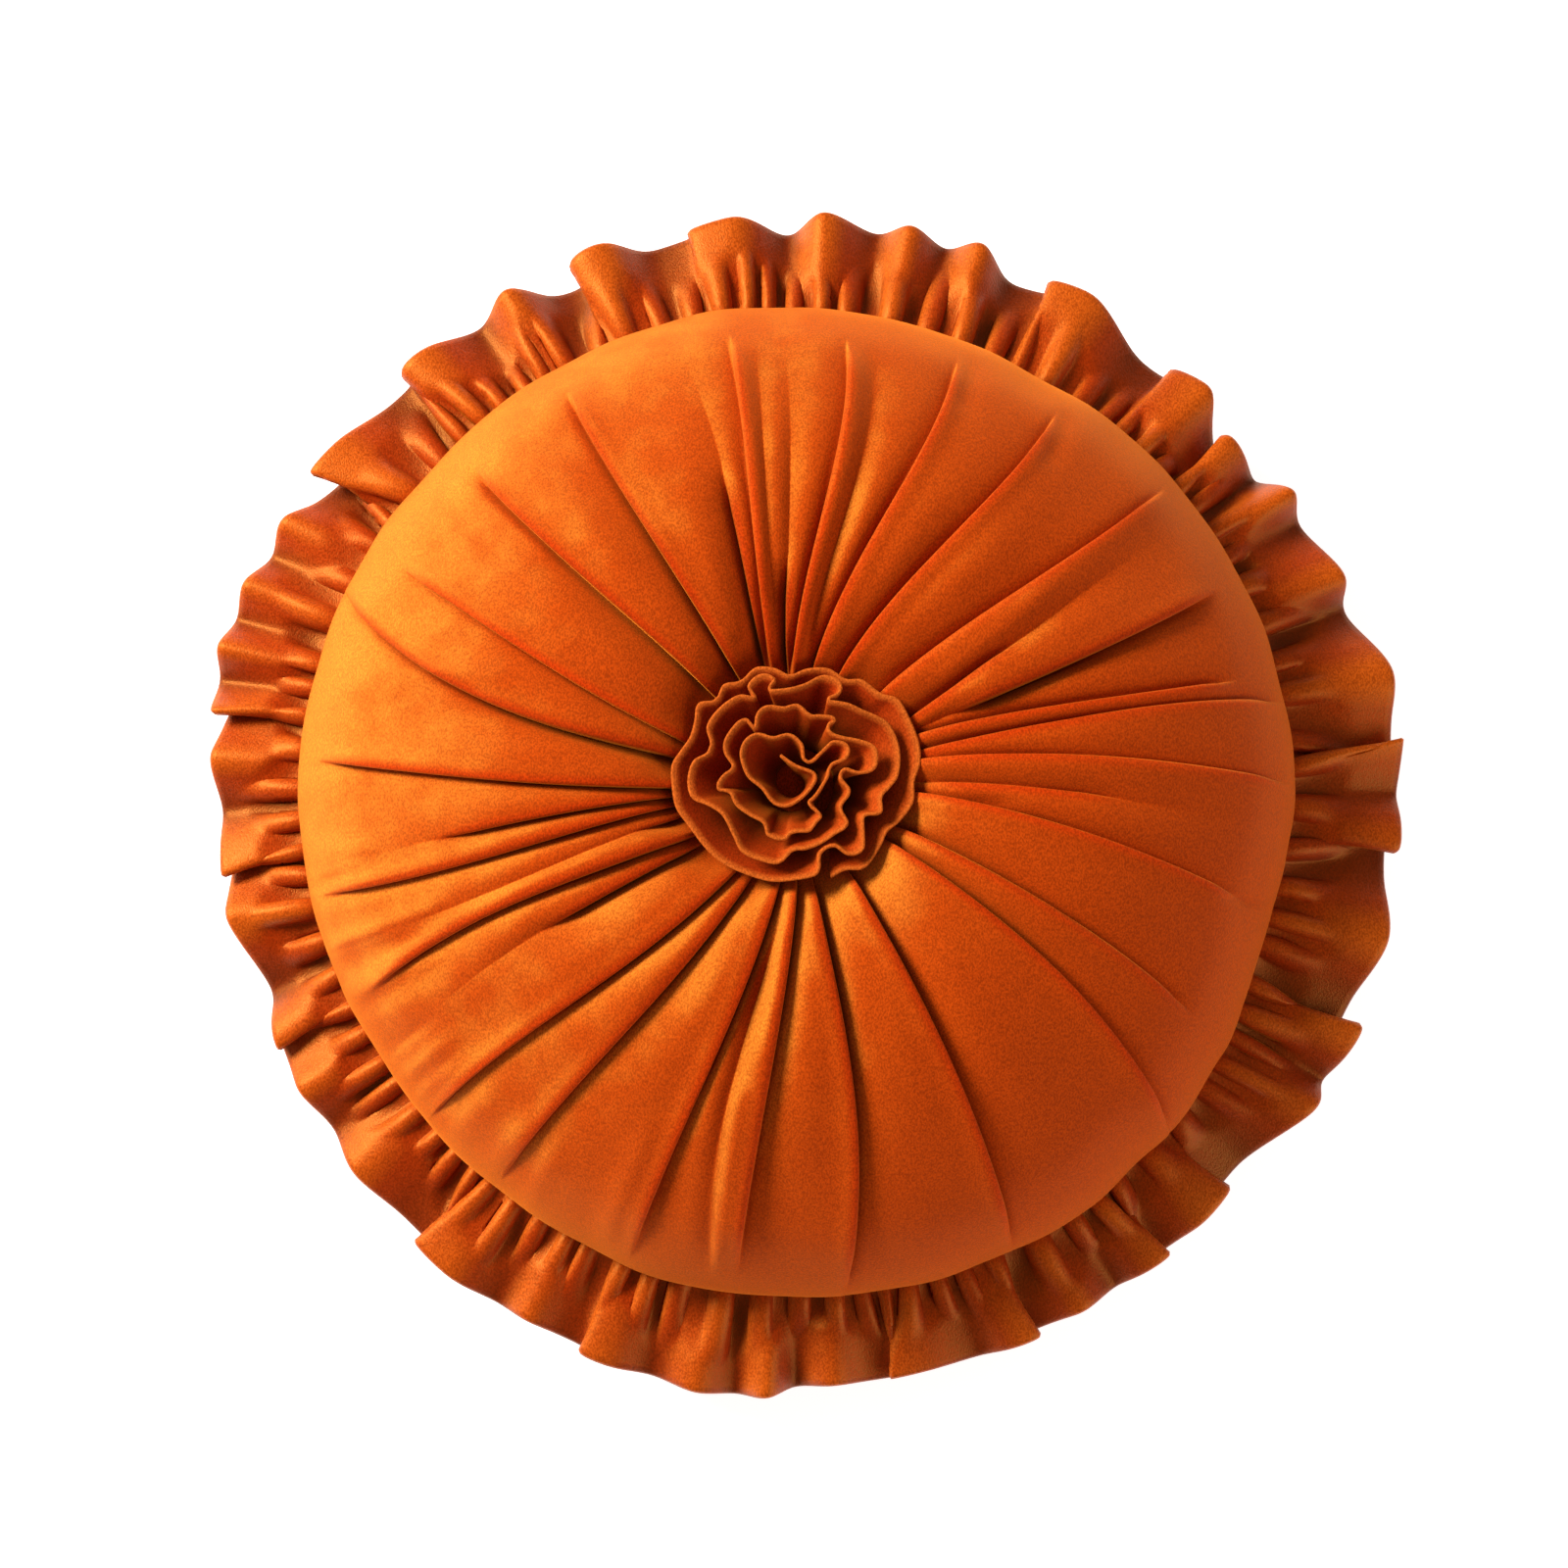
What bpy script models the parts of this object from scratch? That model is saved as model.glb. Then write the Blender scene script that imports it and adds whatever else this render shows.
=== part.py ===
"""A round velvet cushion lying on its back, its face up: one filled puff drawn in at the middle and
tucked into uneven pleats, a gathered ruffle sewn into its seam, and a frilled rosette in the dimple.
Metres inside Blender; the tables and sizes below are in millimetres and degrees, counted
anticlockwise from the right, with the bottom of the cushion at height 0."""
import math
import bmesh
import bpy
import numpy as np

MM = 0.001
FULL_TURN = 360.0
NO_LESS_THAN = 1e-6

# The puff
PUFF_REACH = 190.0
SEAM_HEIGHT = 50.0
DIMPLE_ACROSS = -1.6
DIMPLE_UP = -1.9
DIMPLE_HOLDS_TO = 50.0
DIMPLE_FADES_BY = 150.0
FACE_EASES_FROM = 100.0
PANEL_STEP = 4.5
PANEL_PUFF = 3.2
PANEL_PUFF_FROM = 40.0
PANEL_PUFF_FULL = 60.0
PANEL_PUFF_EBBS = 90.0
PANEL_PUFF_TO = 170.0
WIDE_PANEL = 14.0
PLEAT_NEAR = 45.0
PLEAT_MID = 108.0
PLEAT_RIM = 165.0
PLEAT_RUNS_STRAIGHT_WITHIN = 40.0
PLEAT_FADE = 24.0
RIDGE_WIDTH = 3.4
RIDGE_SET_BACK = 2.4
DROP_SET_OUT = 1.1
MOST_OF_PANEL = 0.3

# The ruffle strip
RUFFLE_THICK = 2.0
HEADING_REACH = 181.2
RUFFLE_LEAVES_SEAM = 185.6
RUFFLE_DROOP = 8.0
DROOP_CURVE = 1.3
FOLD_LIFT = 3.4
LIFT_PER_REACH = 0.32
LIFT_CURVE = 0.9
MOST_LIFT = 7.5
SEWN_BESIDE_FOLD = 0.5
GATHER_HEIGHT = 2.1
GATHER_ENDS = 0.62
COLUMNS_A_FOLD = 4
RUFFLE_ROWS = (0.0, 0.25, 0.6, 1.0)

# The rosette strip
FRILL_THICK = 1.3
FRILL_STEPS = 380
STEPS_A_STOP = 6
FRILL_TUCK_REACH = 3.4
FRILL_TUCK_PITCH = 5.4
FRILL_CLEAR = 2.0
FRILL_MIDDLE_CLEAR = 2.4
APART_ALONG_STRIP = 1.9
APART_ROUNDS = 60
APART_EACH_ROUND = 0.5
WINDING_SOFTENS = 14
WOUND_SOFTENS = 6
REACH_SOFTENS = 8
FRILL_FOOT_CLEAR = 0.7
FRILL_MID_LEVEL = 0.55
FRILL_FLARE = 0.42
FRILL_STANDS = 25.0
FRILL_RIM_STANDS = 18.5
FRILL_RIM_FROM = 30.0
FRILL_RIM_TO = 44.0

# The front of the puff, from its middle out to the seam
FACE_PROFILE = (
    # reach, height
    (14.0, 98.6),
    (28.0, 100.8),
    (37.0, 108.0),
    (44.0, 113.4),
    (54.0, 119.2),
    (66.0, 122.8),
    (80.0, 124.4),
    (97.0, 123.6),
    (115.0, 120.6),
    (134.0, 114.8),
    (154.0, 105.6),
    (170.0, 94.8),
    (182.0, 80.4),
    (188.6, 68.0),
    (190.0, 60.0),
    (185.4, 52.0),
)
# The slot in the seam that holds the ruffle's heading
SEAM_SLOT = (
    # reach, height
    (180.6, 51.3),
    (180.6, 48.7),
)
# The plain back, from the seam down to the flat that it rests on
BACK_PROFILE = (
    # reach, height
    (185.4, 48.0),
    (189.6, 38.0),
    (183.0, 17.0),
    (165.0, 3.6),
    (140.0, 0.0),
)
# How far the puff's fullest part reaches round its edge
RIM_REACH = (
    # at, reach
    (0, 190.5),
    (20, 189.8),
    (40, 189.4),
    (60, 187.5),
    (75, 188.8),
    (90, 190.2),
    (105, 191.2),
    (120, 190.5),
    (135, 189.8),
    (157, 191.3),
    (185, 190.9),
    (195, 190.1),
    (210, 188.2),
    (235, 189.4),
    (260, 191.6),
    (290, 192.2),
    (305, 192.8),
    (312, 190.8),
    (317, 191.7),
    (328, 189.4),
    (335, 186.8),
    (345, 186.4),
    (352, 188.3),
)
# One row a pleat: where it lies at the rosette, halfway out and at the rim, the reach at which it
# starts and ends, how high its folded edge stands, how deep the cloth drops beside it, how wide
# that drop is, and which way it opens (1 anticlockwise, -1 clockwise)
PLEATS = (
    # near, mid, rim, starts, ends, ridge, drop, width, opens
    (7.5, 2.8, 0.6, 30, 188, 1.2, 1.0, 1.7, 1),
    (11.4, 10.7, 10.2, 30, 190, 0.5, 2.4, 2.4, 1),
    (19.0, 13.7, 12.8, 30, 172, 1.6, 2.4, 1.7, 1),
    (21.6, 22.0, 24.2, 60, 176, 1.6, 4.2, 2.2, -1),
    (26.6, 31.5, 34.0, 30, 100, 0.8, 2.6, 2.4, 1),
    (44.5, 39.2, 38.6, 30, 182, 1.5, 1.6, 1.6, 1),
    (66.0, 56.3, 54.8, 30, 176, 1.7, 1.9, 1.6, 1),
    (79.5, 70.3, 69.0, 30, 178, 1.7, 1.9, 1.6, 1),
    (85.0, 78.8, 80.0, 45, 172, 0.0, 1.4, 4.5, 1),
    (90.2, 83.4, 83.5, 30, 172, 1.8, 1.9, 1.6, 1),
    (93.2, 91.4, 91.8, 30, 84, 1.0, 4.2, 2.0, 1),
    (97.4, 96.2, 95.6, 50, 170, 0.0, 1.2, 4.5, 1),
    (101.2, 99.3, 98.7, 30, 174, 1.7, 1.4, 1.6, 1),
    (104.0, 103.6, 105.0, 30, 120, 0.3, 4.0, 2.0, 1),
    (118.5, 121.4, 120.8, 30, 174, 1.2, 3.6, 1.8, 1),
    (133.8, 137.2, 136.2, 30, 174, 1.2, 3.6, 1.8, 1),
    (161.5, 156.0, 152.0, 30, 172, 1.5, 1.6, 1.6, 1),
    (169.7, 167.8, 160.7, 30, 192, 1.3, 4.0, 2.0, 1),
    (184.8, 181.6, 178.2, 30, 184, 1.2, 2.6, 1.7, 1),
    (188.6, 190.2, 190.6, 30, 138, 0.6, 3.0, 2.2, 1),
    (192.8, 195.4, 194.2, 30, 186, 1.2, 2.4, 1.8, 1),
    (198.6, 201.5, 200.5, 30, 64, 0.6, 3.4, 2.2, 1),
    (209.3, 205.2, 205.6, 30, 180, 1.4, 2.4, 1.7, 1),
    (214.4, 212.2, 213.0, 30, 112, 0.8, 3.2, 2.2, 1),
    (237.0, 227.0, 222.6, 30, 190, 1.4, 2.2, 1.7, 1),
    (245.5, 237.3, 233.6, 30, 188, 1.4, 2.2, 1.7, 1),
    (261.2, 254.0, 250.9, 30, 188, 1.5, 2.6, 1.7, 1),
    (265.6, 258.6, 258.6, 60, 188, 0.0, 2.2, 3.6, 1),
    (270.6, 265.0, 263.0, 30, 184, 2.4, 2.2, 1.8, 1),
    (280.2, 280.0, 277.2, 30, 192, 1.6, 3.6, 1.9, 1),
    (299.7, 297.8, 295.8, 30, 192, 1.8, 3.2, 1.8, 1),
    (325.0, 322.6, 319.0, 30, 193, 1.6, 3.2, 1.8, 1),
    (334.0, 331.4, 329.2, 30, 172, 1.6, 3.0, 1.8, 1),
    (352.2, 347.6, 345.2, 30, 178, 1.5, 1.8, 1.6, 1),
    (357.4, 355.4, 354.0, 40, 125, 0.2, 1.6, 2.6, 1),
)
# One row a fold of the ruffle's free edge: the ridge, then the valley after it
RUFFLE_FOLDS = (
    # ridge at, its reach, valley at, its reach
    (3.6, 234.6, 5.6, 230.0),
    (12.0, 235.2, 19.0, 226.4),
    (22.5, 229.4, 28.8, 224.7),
    (32.0, 227.4, 35.2, 219.8),
    (38.0, 220.6, 41.2, 212.4),
    (45.0, 228.0, 51.8, 221.0),
    (60.0, 230.0, 67.4, 223.0),
    (71.6, 231.4, 75.1, 228.0),
    (78.8, 231.4, 82.2, 228.4),
    (87.4, 232.4, 91.0, 226.0),
    (96.4, 231.9, 104.6, 226.9),
    (109.8, 232.6, 114.6, 222.0),
    (119.6, 231.3, 123.8, 225.9),
    (130.2, 230.2, 134.6, 224.1),
    (143.6, 228.7, 146.4, 218.6),
    (151.2, 228.5, 155.0, 227.0),
    (158.6, 231.3, 162.0, 230.2),
    (165.2, 232.5, 167.8, 229.8),
    (169.8, 228.9, 171.9, 222.6),
    (176.0, 227.2, 181.0, 222.9),
    (185.6, 223.3, 188.2, 219.2),
    (192.2, 223.9, 199.8, 215.8),
    (203.6, 221.0, 207.0, 219.5),
    (210.8, 221.3, 215.4, 218.5),
    (220.6, 222.1, 227.4, 220.0),
    (233.6, 225.9, 239.2, 224.2),
    (242.8, 224.6, 246.8, 224.4),
    (251.2, 228.2, 255.8, 227.0),
    (260.2, 229.7, 264.0, 228.2),
    (267.0, 228.9, 269.8, 224.4),
    (273.4, 224.4, 277.6, 223.6),
    (281.4, 224.0, 288.0, 223.6),
    (291.4, 225.3, 294.8, 221.9),
    (298.8, 223.9, 303.0, 222.5),
    (306.4, 224.8, 309.8, 221.9),
    (313.8, 223.8, 320.0, 219.2),
    (328.4, 230.4, 331.8, 228.6),
    (335.2, 233.0, 338.2, 225.0),
    (346.2, 232.8, 353.6, 227.6),
    (357.2, 232.6, 360.6, 231.8),
)
# One row a fold of the rosette's top edge, round by round from its inner end: where the frill
# swings out and where it comes back in, in millimetres across and up from the rosette's middle
FRILL_HEART = (
    # out across, out up, in across, in up
    (-5.0, 6.8, 0.4, 3.0),
    (7.2, 0.2, 7.0, -3.6),
    (2.6, -8.8, -2.9, -11.9),
    (-7.6, -10.6, -11.8, -5.2),
    (-16.6, -1.2, -18.8, 3.4),
    (-19.6, 8.2, -17.6, 12.8),
    (-13.4, 14.9, -8.0, 13.4),
    (-2.0, 14.6, 2.6, 11.0),
    (3.4, 5.8, 6.2, 4.4),
    (10.4, 8.4, 15.0, 12.2),
    (19.6, 10.4, 19.0, 6.0),
    (13.6, 3.4, 12.0, -1.2),
    (8.0, -7.8, 5.4, -11.0),
    (9.6, -15.4, 7.2, -18.4),
)
FRILL_SECOND = (
    # out across, out up, in across, in up
    (5.6, -21.0, -0.8, -21.6),
    (-4.0, -24.2, -9.6, -22.6),
    (-11.0, -18.2, -16.6, -15.0),
    (-21.4, -11.2, -23.6, -6.8),
    (-28.2, -5.4, -26.4, -1.0),
    (-22.4, 2.6, -25.4, 8.0),
    (-25.2, 12.8, -21.0, 18.8),
    (-17.6, 20.2, -14.6, 17.0),
    (-13.4, 22.6, -9.6, 25.2),
    (-3.8, 24.6, 1.2, 25.6),
    (5.8, 21.8, 10.0, 21.6),
    (15.2, 20.6, 12.2, 17.6),
    (15.4, 14.0, 23.6, 12.4),
    (29.6, 9.6, 29.6, 2.4),
    (24.0, 0.4, 18.4, 1.8),
    (17.0, -1.6, 20.2, -6.6),
    (16.8, -12.4, 19.4, -18.6),
    (14.6, -22.2, 9.2, -25.8),
    (3.6, -27.8, -0.6, -28.2),
)
FRILL_THIRD = (
    # out across, out up, in across, in up
    (-5.4, -32.6, -10.0, -32.4),
    (-18.6, -29.0, -22.0, -23.0),
    (-26.2, -15.0, -32.0, -11.0),
    (-37.4, -8.4, -38.8, -1.6),
    (-36.8, 5.0, -32.2, 7.6),
    (-30.6, 12.0, -31.8, 17.8),
    (-27.4, 24.4, -20.4, 29.2),
    (-14.6, 28.8, -16.8, 33.0),
    (-12.6, 37.0, -7.4, 35.8),
    (-9.4, 31.6, -2.4, 31.6),
    (4.4, 33.6, 10.4, 36.6),
    (16.4, 34.6, 16.6, 30.4),
    (12.0, 27.6, 19.6, 26.0),
    (24.6, 23.8, 29.6, 21.8),
    (34.6, 18.6, 38.2, 10.4),
    (38.0, 0.4, 34.8, -4.6),
    (31.8, -8.4, 31.6, -14.4),
    (25.6, -15.4, 25.2, -20.8),
    (25.0, -27.8, 20.0, -29.8),
    (14.6, -26.6, 9.4, -29.4),
)
FRILL_RIM = (
    # out across, out up, in across, in up
    (8.4, -36.4, 1.0, -38.4),
    (-7.6, -39.0, -14.4, -37.4),
    (-22.4, -34.2, -29.0, -30.0),
    (-34.0, -24.6, -38.2, -18.8),
    (-43.0, -12.0, -44.6, -4.0),
    (-44.6, 4.0, -41.2, 9.6),
    (-38.0, 14.4, -36.4, 20.4),
    (-35.2, 26.6, -28.8, 28.2),
    (-25.8, 33.6, -19.6, 35.0),
    (-14.0, 39.8, -7.0, 39.4),
    (-1.6, 37.0, 4.6, 39.2),
    (12.4, 39.4, 18.8, 35.6),
    (24.8, 35.4, 31.6, 30.4),
    (37.8, 28.4, 42.0, 21.4),
    (45.4, 12.6, 46.0, 5.0),
    (43.8, -2.0, 43.4, -9.6),
    (38.8, -16.4, 33.8, -20.8),
    (31.2, -26.4, 25.6, -34.0),
    (18.6, -34.8, 13.4, -37.6),
)

# Colours
PUFF_COLOUR = (0.56, 0.115, 0.016, 1.0)
RUFFLE_COLOUR = (0.47, 0.075, 0.010, 1.0)
ROSETTE_COLOUR = (0.40, 0.045, 0.008, 1.0)
VELVET_ROUGHNESS = 0.85
RUFFLE_ROUGHNESS = 0.7


def ease(value, start, end):
    """0 at start, 1 at end, and smooth between them."""
    part = np.clip((value - start) / (end - start), 0.0, 1.0)
    return part * part * (3.0 - 2.0 * part)


def round_the_clock(rows, degrees):
    """A value from a table of (at, value) rows, joined smoothly right round the cushion."""
    at = np.array([row[0] for row in rows], float)
    value = np.array([row[1] for row in rows], float)
    at = np.concatenate([[at[-1] - FULL_TURN], at, [at[0] + FULL_TURN]])
    value = np.concatenate([[value[-1]], value, [value[0]]])
    turned = np.mod(degrees, FULL_TURN)
    place = np.clip(np.searchsorted(at, turned, side="right") - 1, 0, len(at) - 2)
    part = ease(turned, at[place], at[place + 1])
    return value[place] * (1.0 - part) + value[place + 1] * part


def rim_scale(reach, degrees):
    """How much further out the cloth lies than on a true circle."""
    uneven = round_the_clock(RIM_REACH, degrees) / PUFF_REACH - 1.0
    return 1.0 + uneven * ease(reach, FACE_EASES_FROM, PUFF_REACH)


def pleat_at(pleat, reach):
    """The angle at which a pleat lies at this reach: a soft curve through its three readings."""
    near, mid, rim = pleat[:3]
    out = np.clip(reach, PLEAT_RUNS_STRAIGHT_WITHIN, PUFF_REACH)
    a = (out - PLEAT_MID) * (out - PLEAT_RIM) / ((PLEAT_NEAR - PLEAT_MID) * (PLEAT_NEAR - PLEAT_RIM))
    b = (out - PLEAT_NEAR) * (out - PLEAT_RIM) / ((PLEAT_MID - PLEAT_NEAR) * (PLEAT_MID - PLEAT_RIM))
    c = (out - PLEAT_NEAR) * (out - PLEAT_MID) / ((PLEAT_RIM - PLEAT_NEAR) * (PLEAT_RIM - PLEAT_MID))
    return near * a + mid * b + rim * c


def pleat_strength(pleat, reach):
    """1 along the pleat, fading to 0 at both its ends."""
    starts, ends = pleat[3:5]
    return ease(reach, starts, starts + PLEAT_FADE) * (1.0 - ease(reach, ends - PLEAT_FADE, ends))


def face_lift(reach, degrees):
    """How far the pleats raise or drop the front at one reach, for an array of angles."""
    lift = np.zeros_like(degrees)
    for pleat in PLEATS:
        ridge, drop, width, opens = pleat[5:9]
        strength = pleat_strength(pleat, reach)
        if strength <= 0.0:
            continue
        turn = (degrees - pleat_at(pleat, reach) + 0.5 * FULL_TURN) % FULL_TURN - 0.5 * FULL_TURN
        along = np.radians(turn) * reach * opens
        lift += strength * ridge * np.exp(-(((along + RIDGE_SET_BACK) / RIDGE_WIDTH) ** 2))
        lift -= strength * drop * np.exp(-(((along - DROP_SET_OUT) / width) ** 2))
    return lift


def panel_puff(reach, part, panel_degrees):
    """The soft swell of the cloth between two pleats, at this part of the way across."""
    width = math.radians(panel_degrees) * reach
    fade = ease(reach, PANEL_PUFF_FROM, PANEL_PUFF_FULL)
    fade *= 1.0 - ease(reach, PANEL_PUFF_EBBS, PANEL_PUFF_TO)
    return PANEL_PUFF * fade * min(1.0, width / WIDE_PANEL) * math.sin(math.pi * part)


def make_solid(name, points, faces, colour, roughness):
    """One closed, smooth-shaded body from points in millimetres."""
    mesh = bpy.data.meshes.new(name)
    mesh.from_pydata([tuple(MM * c for c in point) for point in points], [], faces)
    shape = bmesh.new()
    shape.from_mesh(mesh)
    bmesh.ops.recalc_face_normals(shape, faces=shape.faces)
    shape.to_mesh(mesh)
    shape.free()
    for face in mesh.polygons:
        face.use_smooth = True
    body = bpy.data.objects.new(name, mesh)
    bpy.context.scene.collection.objects.link(body)
    material = bpy.data.materials.new(name + "_velvet")
    material.use_nodes = True
    finish = material.node_tree.nodes["Principled BSDF"]
    finish.inputs["Base Color"].default_value = colour
    finish.inputs["Roughness"].default_value = roughness
    finish.inputs["Metallic"].default_value = 0.0
    mesh.materials.append(material)
    return body


def pleat_sides(number, reach):
    """The angles of a pleat's clockwise and anticlockwise sides: its folded edge and its drop."""
    count = len(PLEATS)
    pleat = PLEATS[number % count]
    here = pleat_at(pleat, reach)
    before = pleat_at(PLEATS[(number - 1) % count], reach)
    after = pleat_at(PLEATS[(number + 1) % count], reach)
    most_back = MOST_OF_PANEL * ((here - before) % FULL_TURN)
    most_on = MOST_OF_PANEL * ((after - here) % FULL_TURN)
    back, on = (RIDGE_SET_BACK, DROP_SET_OUT) if pleat[8] > 0 else (DROP_SET_OUT, RIDGE_SET_BACK)
    turns = FULL_TURN * (number // count)
    first = here + turns - min(math.degrees(back / reach), most_back)
    last = here + turns + min(math.degrees(on / reach), most_on)
    return first, last


def puff_columns(reach):
    """The angles of the cloth's columns at this reach, with what part of its panel each one is at:
    one on every folded edge, one in every drop, and evenly spaced ones over the panels."""
    columns = []
    for number, pleat in enumerate(PLEATS):
        following = PLEATS[(number + 1) % len(PLEATS)]
        mid_gap = (following[1] - pleat[1]) % FULL_TURN
        first, last = pleat_sides(number, reach)
        ends = pleat_sides(number + 1, reach)[0]
        if pleat[5] > 0.0:
            columns.append((first, 1.0, mid_gap))
        columns.append((last, 0.0, mid_gap))
        panels = max(1, round(mid_gap / PANEL_STEP))
        for step in range(1, panels + 1):
            part = step / (panels + 1.0)
            columns.append((last + part * (ends - last), part, mid_gap))
    return columns


def make_cushion():
    """The filled puff: one skin of rings from the dimple over the crown and seam to the flat back."""
    rings = []
    for reach, height in FACE_PROFILE:
        columns = puff_columns(reach)
        degrees = np.array([column[0] for column in columns])
        lift = face_lift(reach, degrees)
        swell = np.array([panel_puff(reach, part, gap) for _, part, gap in columns])
        rings.append((reach, degrees, height + lift + swell))
    rim_degrees = rings[-1][1]
    for reach, height in SEAM_SLOT + BACK_PROFILE:
        flat = np.full(len(rim_degrees), height)
        rings.append((reach, rim_degrees, flat))
    around = len(rim_degrees)
    points = [(DIMPLE_ACROSS, DIMPLE_UP, FACE_PROFILE[0][1])]
    for number, (reach, degrees, heights) in enumerate(rings):
        held = 1.0 - ease(reach, DIMPLE_HOLDS_TO, DIMPLE_FADES_BY)
        on_front = number < len(FACE_PROFILE)
        shift = held if on_front else 0.0
        out = reach * rim_scale(reach if on_front else PUFF_REACH, degrees)
        across = DIMPLE_ACROSS * shift + out * np.cos(np.radians(degrees))
        up = DIMPLE_UP * shift + out * np.sin(np.radians(degrees))
        points.extend(zip(across, up, heights))
    faces = [(0, 1 + step, 1 + (step + 1) % around) for step in range(around)]
    for number in range(len(rings) - 1):
        start = 1 + number * around
        for step in range(around):
            after = (step + 1) % around
            faces.append((start + step, start + around + step, start + around + after, start + after))
    last = 1 + (len(rings) - 1) * around
    faces.append(tuple(last + step for step in range(around)))
    return make_solid("cushion", points, faces, PUFF_COLOUR, VELVET_ROUGHNESS)


def smooth_path(stops, per_stop, closed):
    """Points along a soft curve through the stops."""
    stops = np.array(stops, float)
    count = len(stops)
    spans = count if closed else count - 1
    path = []
    for number in range(spans):
        index = [number - 1, number, number + 1, number + 2]
        if closed:
            before, here, there, after = (stops[i % count] for i in index)
        else:
            before, here, there, after = (stops[min(max(i, 0), count - 1)] for i in index)
        for step in range(per_stop):
            t = step / per_stop
            path.append(
                0.5 * (2.0 * here + (there - before) * t
                       + (2.0 * before - 5.0 * here + 4.0 * there - after) * t ** 2
                       + (3.0 * here - before - 3.0 * there + after) * t ** 3)
            )
    if not closed:
        path.append(stops[-1])
    return np.array(path)


def ruffle_edge():
    """Angle, reach and lift down the ruffle's free edge, with the angle where each bit is sewn in."""
    stops = []
    for ridge_at, ridge_reach, valley_at, valley_reach in RUFFLE_FOLDS:
        lift = min(MOST_LIFT, FOLD_LIFT + LIFT_PER_REACH * (ridge_reach - valley_reach))
        stops.append((ridge_at, ridge_reach, lift))
        stops.append((valley_at, valley_reach, -lift))
    stops = np.array(stops)
    at = stops[:, 0]
    before = np.concatenate([[at[-1] - FULL_TURN], at[:-1]])
    after = np.concatenate([at[1:], [at[0] + FULL_TURN]])
    sewn = SEWN_BESIDE_FOLD * at + (1.0 - SEWN_BESIDE_FOLD) * 0.5 * (before + after)
    swing = np.column_stack([np.cos(np.radians(at)), np.sin(np.radians(at))])
    seam = np.column_stack([np.cos(np.radians(sewn)), np.sin(np.radians(sewn))])
    path = smooth_path(np.column_stack([swing * stops[:, 1:2], stops[:, 2], seam]), COLUMNS_A_FOLD, True)
    return path[:, :2], path[:, 2], path[:, 3:5]


def make_ruffle():
    """The gathered strip: its heading flat in the seam, then small gathers that run together into
    the big folds of its free edge."""
    edge, lift, sewn = ruffle_edge()
    sewn = sewn / np.linalg.norm(sewn, axis=1)[:, None]
    degrees = np.degrees(np.arctan2(sewn[:, 1], sewn[:, 0]))
    scale = rim_scale(PUFF_REACH, degrees)[:, None]
    heading = sewn * HEADING_REACH * scale
    leaves = sewn * RUFFLE_LEAVES_SEAM * scale
    wave = np.cos(2.0 * math.pi * np.arange(len(edge)) / COLUMNS_A_FOLD)
    rows = [np.column_stack([heading, np.full(len(edge), SEAM_HEIGHT)])]
    for part in RUFFLE_ROWS:
        gather = GATHER_HEIGHT * math.sin(math.pi * min(1.0, part / GATHER_ENDS))
        hangs = lift * part ** LIFT_CURVE - RUFFLE_DROOP * part ** DROOP_CURVE
        height = SEAM_HEIGHT + hangs + gather * wave
        flat = leaves * (1.0 - part) + edge * part
        rows.append(np.column_stack([flat, height]))
    grid = np.array(rows)
    along = np.roll(grid, -1, axis=1) - np.roll(grid, 1, axis=1)
    out = np.gradient(grid, axis=0)
    facing = np.cross(out, along)
    facing /= np.linalg.norm(facing, axis=2)[:, :, None]
    facing *= np.sign(facing[:, :, 2:3])
    facing[:2] = (0.0, 0.0, 1.0)
    top = grid + 0.5 * RUFFLE_THICK * facing
    bottom = grid - 0.5 * RUFFLE_THICK * facing
    return make_ribbon("ruffle", top, bottom, True, RUFFLE_COLOUR, RUFFLE_ROUGHNESS)


def make_ribbon(name, one_side, other_side, closed, colour, roughness):
    """A solid strip from the two sides of its cloth, each rows of points along its length."""
    rows, length = one_side.shape[:2]
    points = np.concatenate([one_side.reshape(-1, 3), other_side.reshape(-1, 3)])
    other = rows * length
    spans = length if closed else length - 1
    faces = []
    for step in range(spans):
        after = (step + 1) % length
        for row in range(rows - 1):
            a = row * length + step
            b = row * length + after
            faces.append((a, b, b + length, a + length))
            faces.append((other + a, other + a + length, other + b + length, other + b))
        last = (rows - 1) * length
        faces.append((step, other + step, other + after, after))
        faces.append((last + step, last + after, other + last + after, other + last + step))
    if not closed:
        for row in range(rows - 1):
            a = row * length
            faces.append((a, a + length, other + a + length, other + a))
            b = row * length + length - 1
            faces.append((b, other + b, other + b + length, b + length))
    return make_solid(name, [tuple(point) for point in points], faces, colour, roughness)


def even_steps(path, count):
    """The same path with its points evenly spaced."""
    length = np.concatenate([[0.0], np.cumsum(np.linalg.norm(np.diff(path, axis=0), axis=1))])
    want = np.linspace(0.0, length[-1], count)
    return np.column_stack([np.interp(want, length, path[:, i]) for i in range(path.shape[1])])


def soften(values, steps):
    """The running mean of a path or list, its ends held."""
    reach = np.arange(-steps, steps + 1)
    index = np.clip(np.arange(len(values))[:, None] + reach[None, :], 0, len(values) - 1)
    weight = 1.0 + np.cos(math.pi * reach / (steps + 1.0))
    return np.tensordot(values[index], weight / weight.sum(), axes=([1], [0]))


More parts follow.
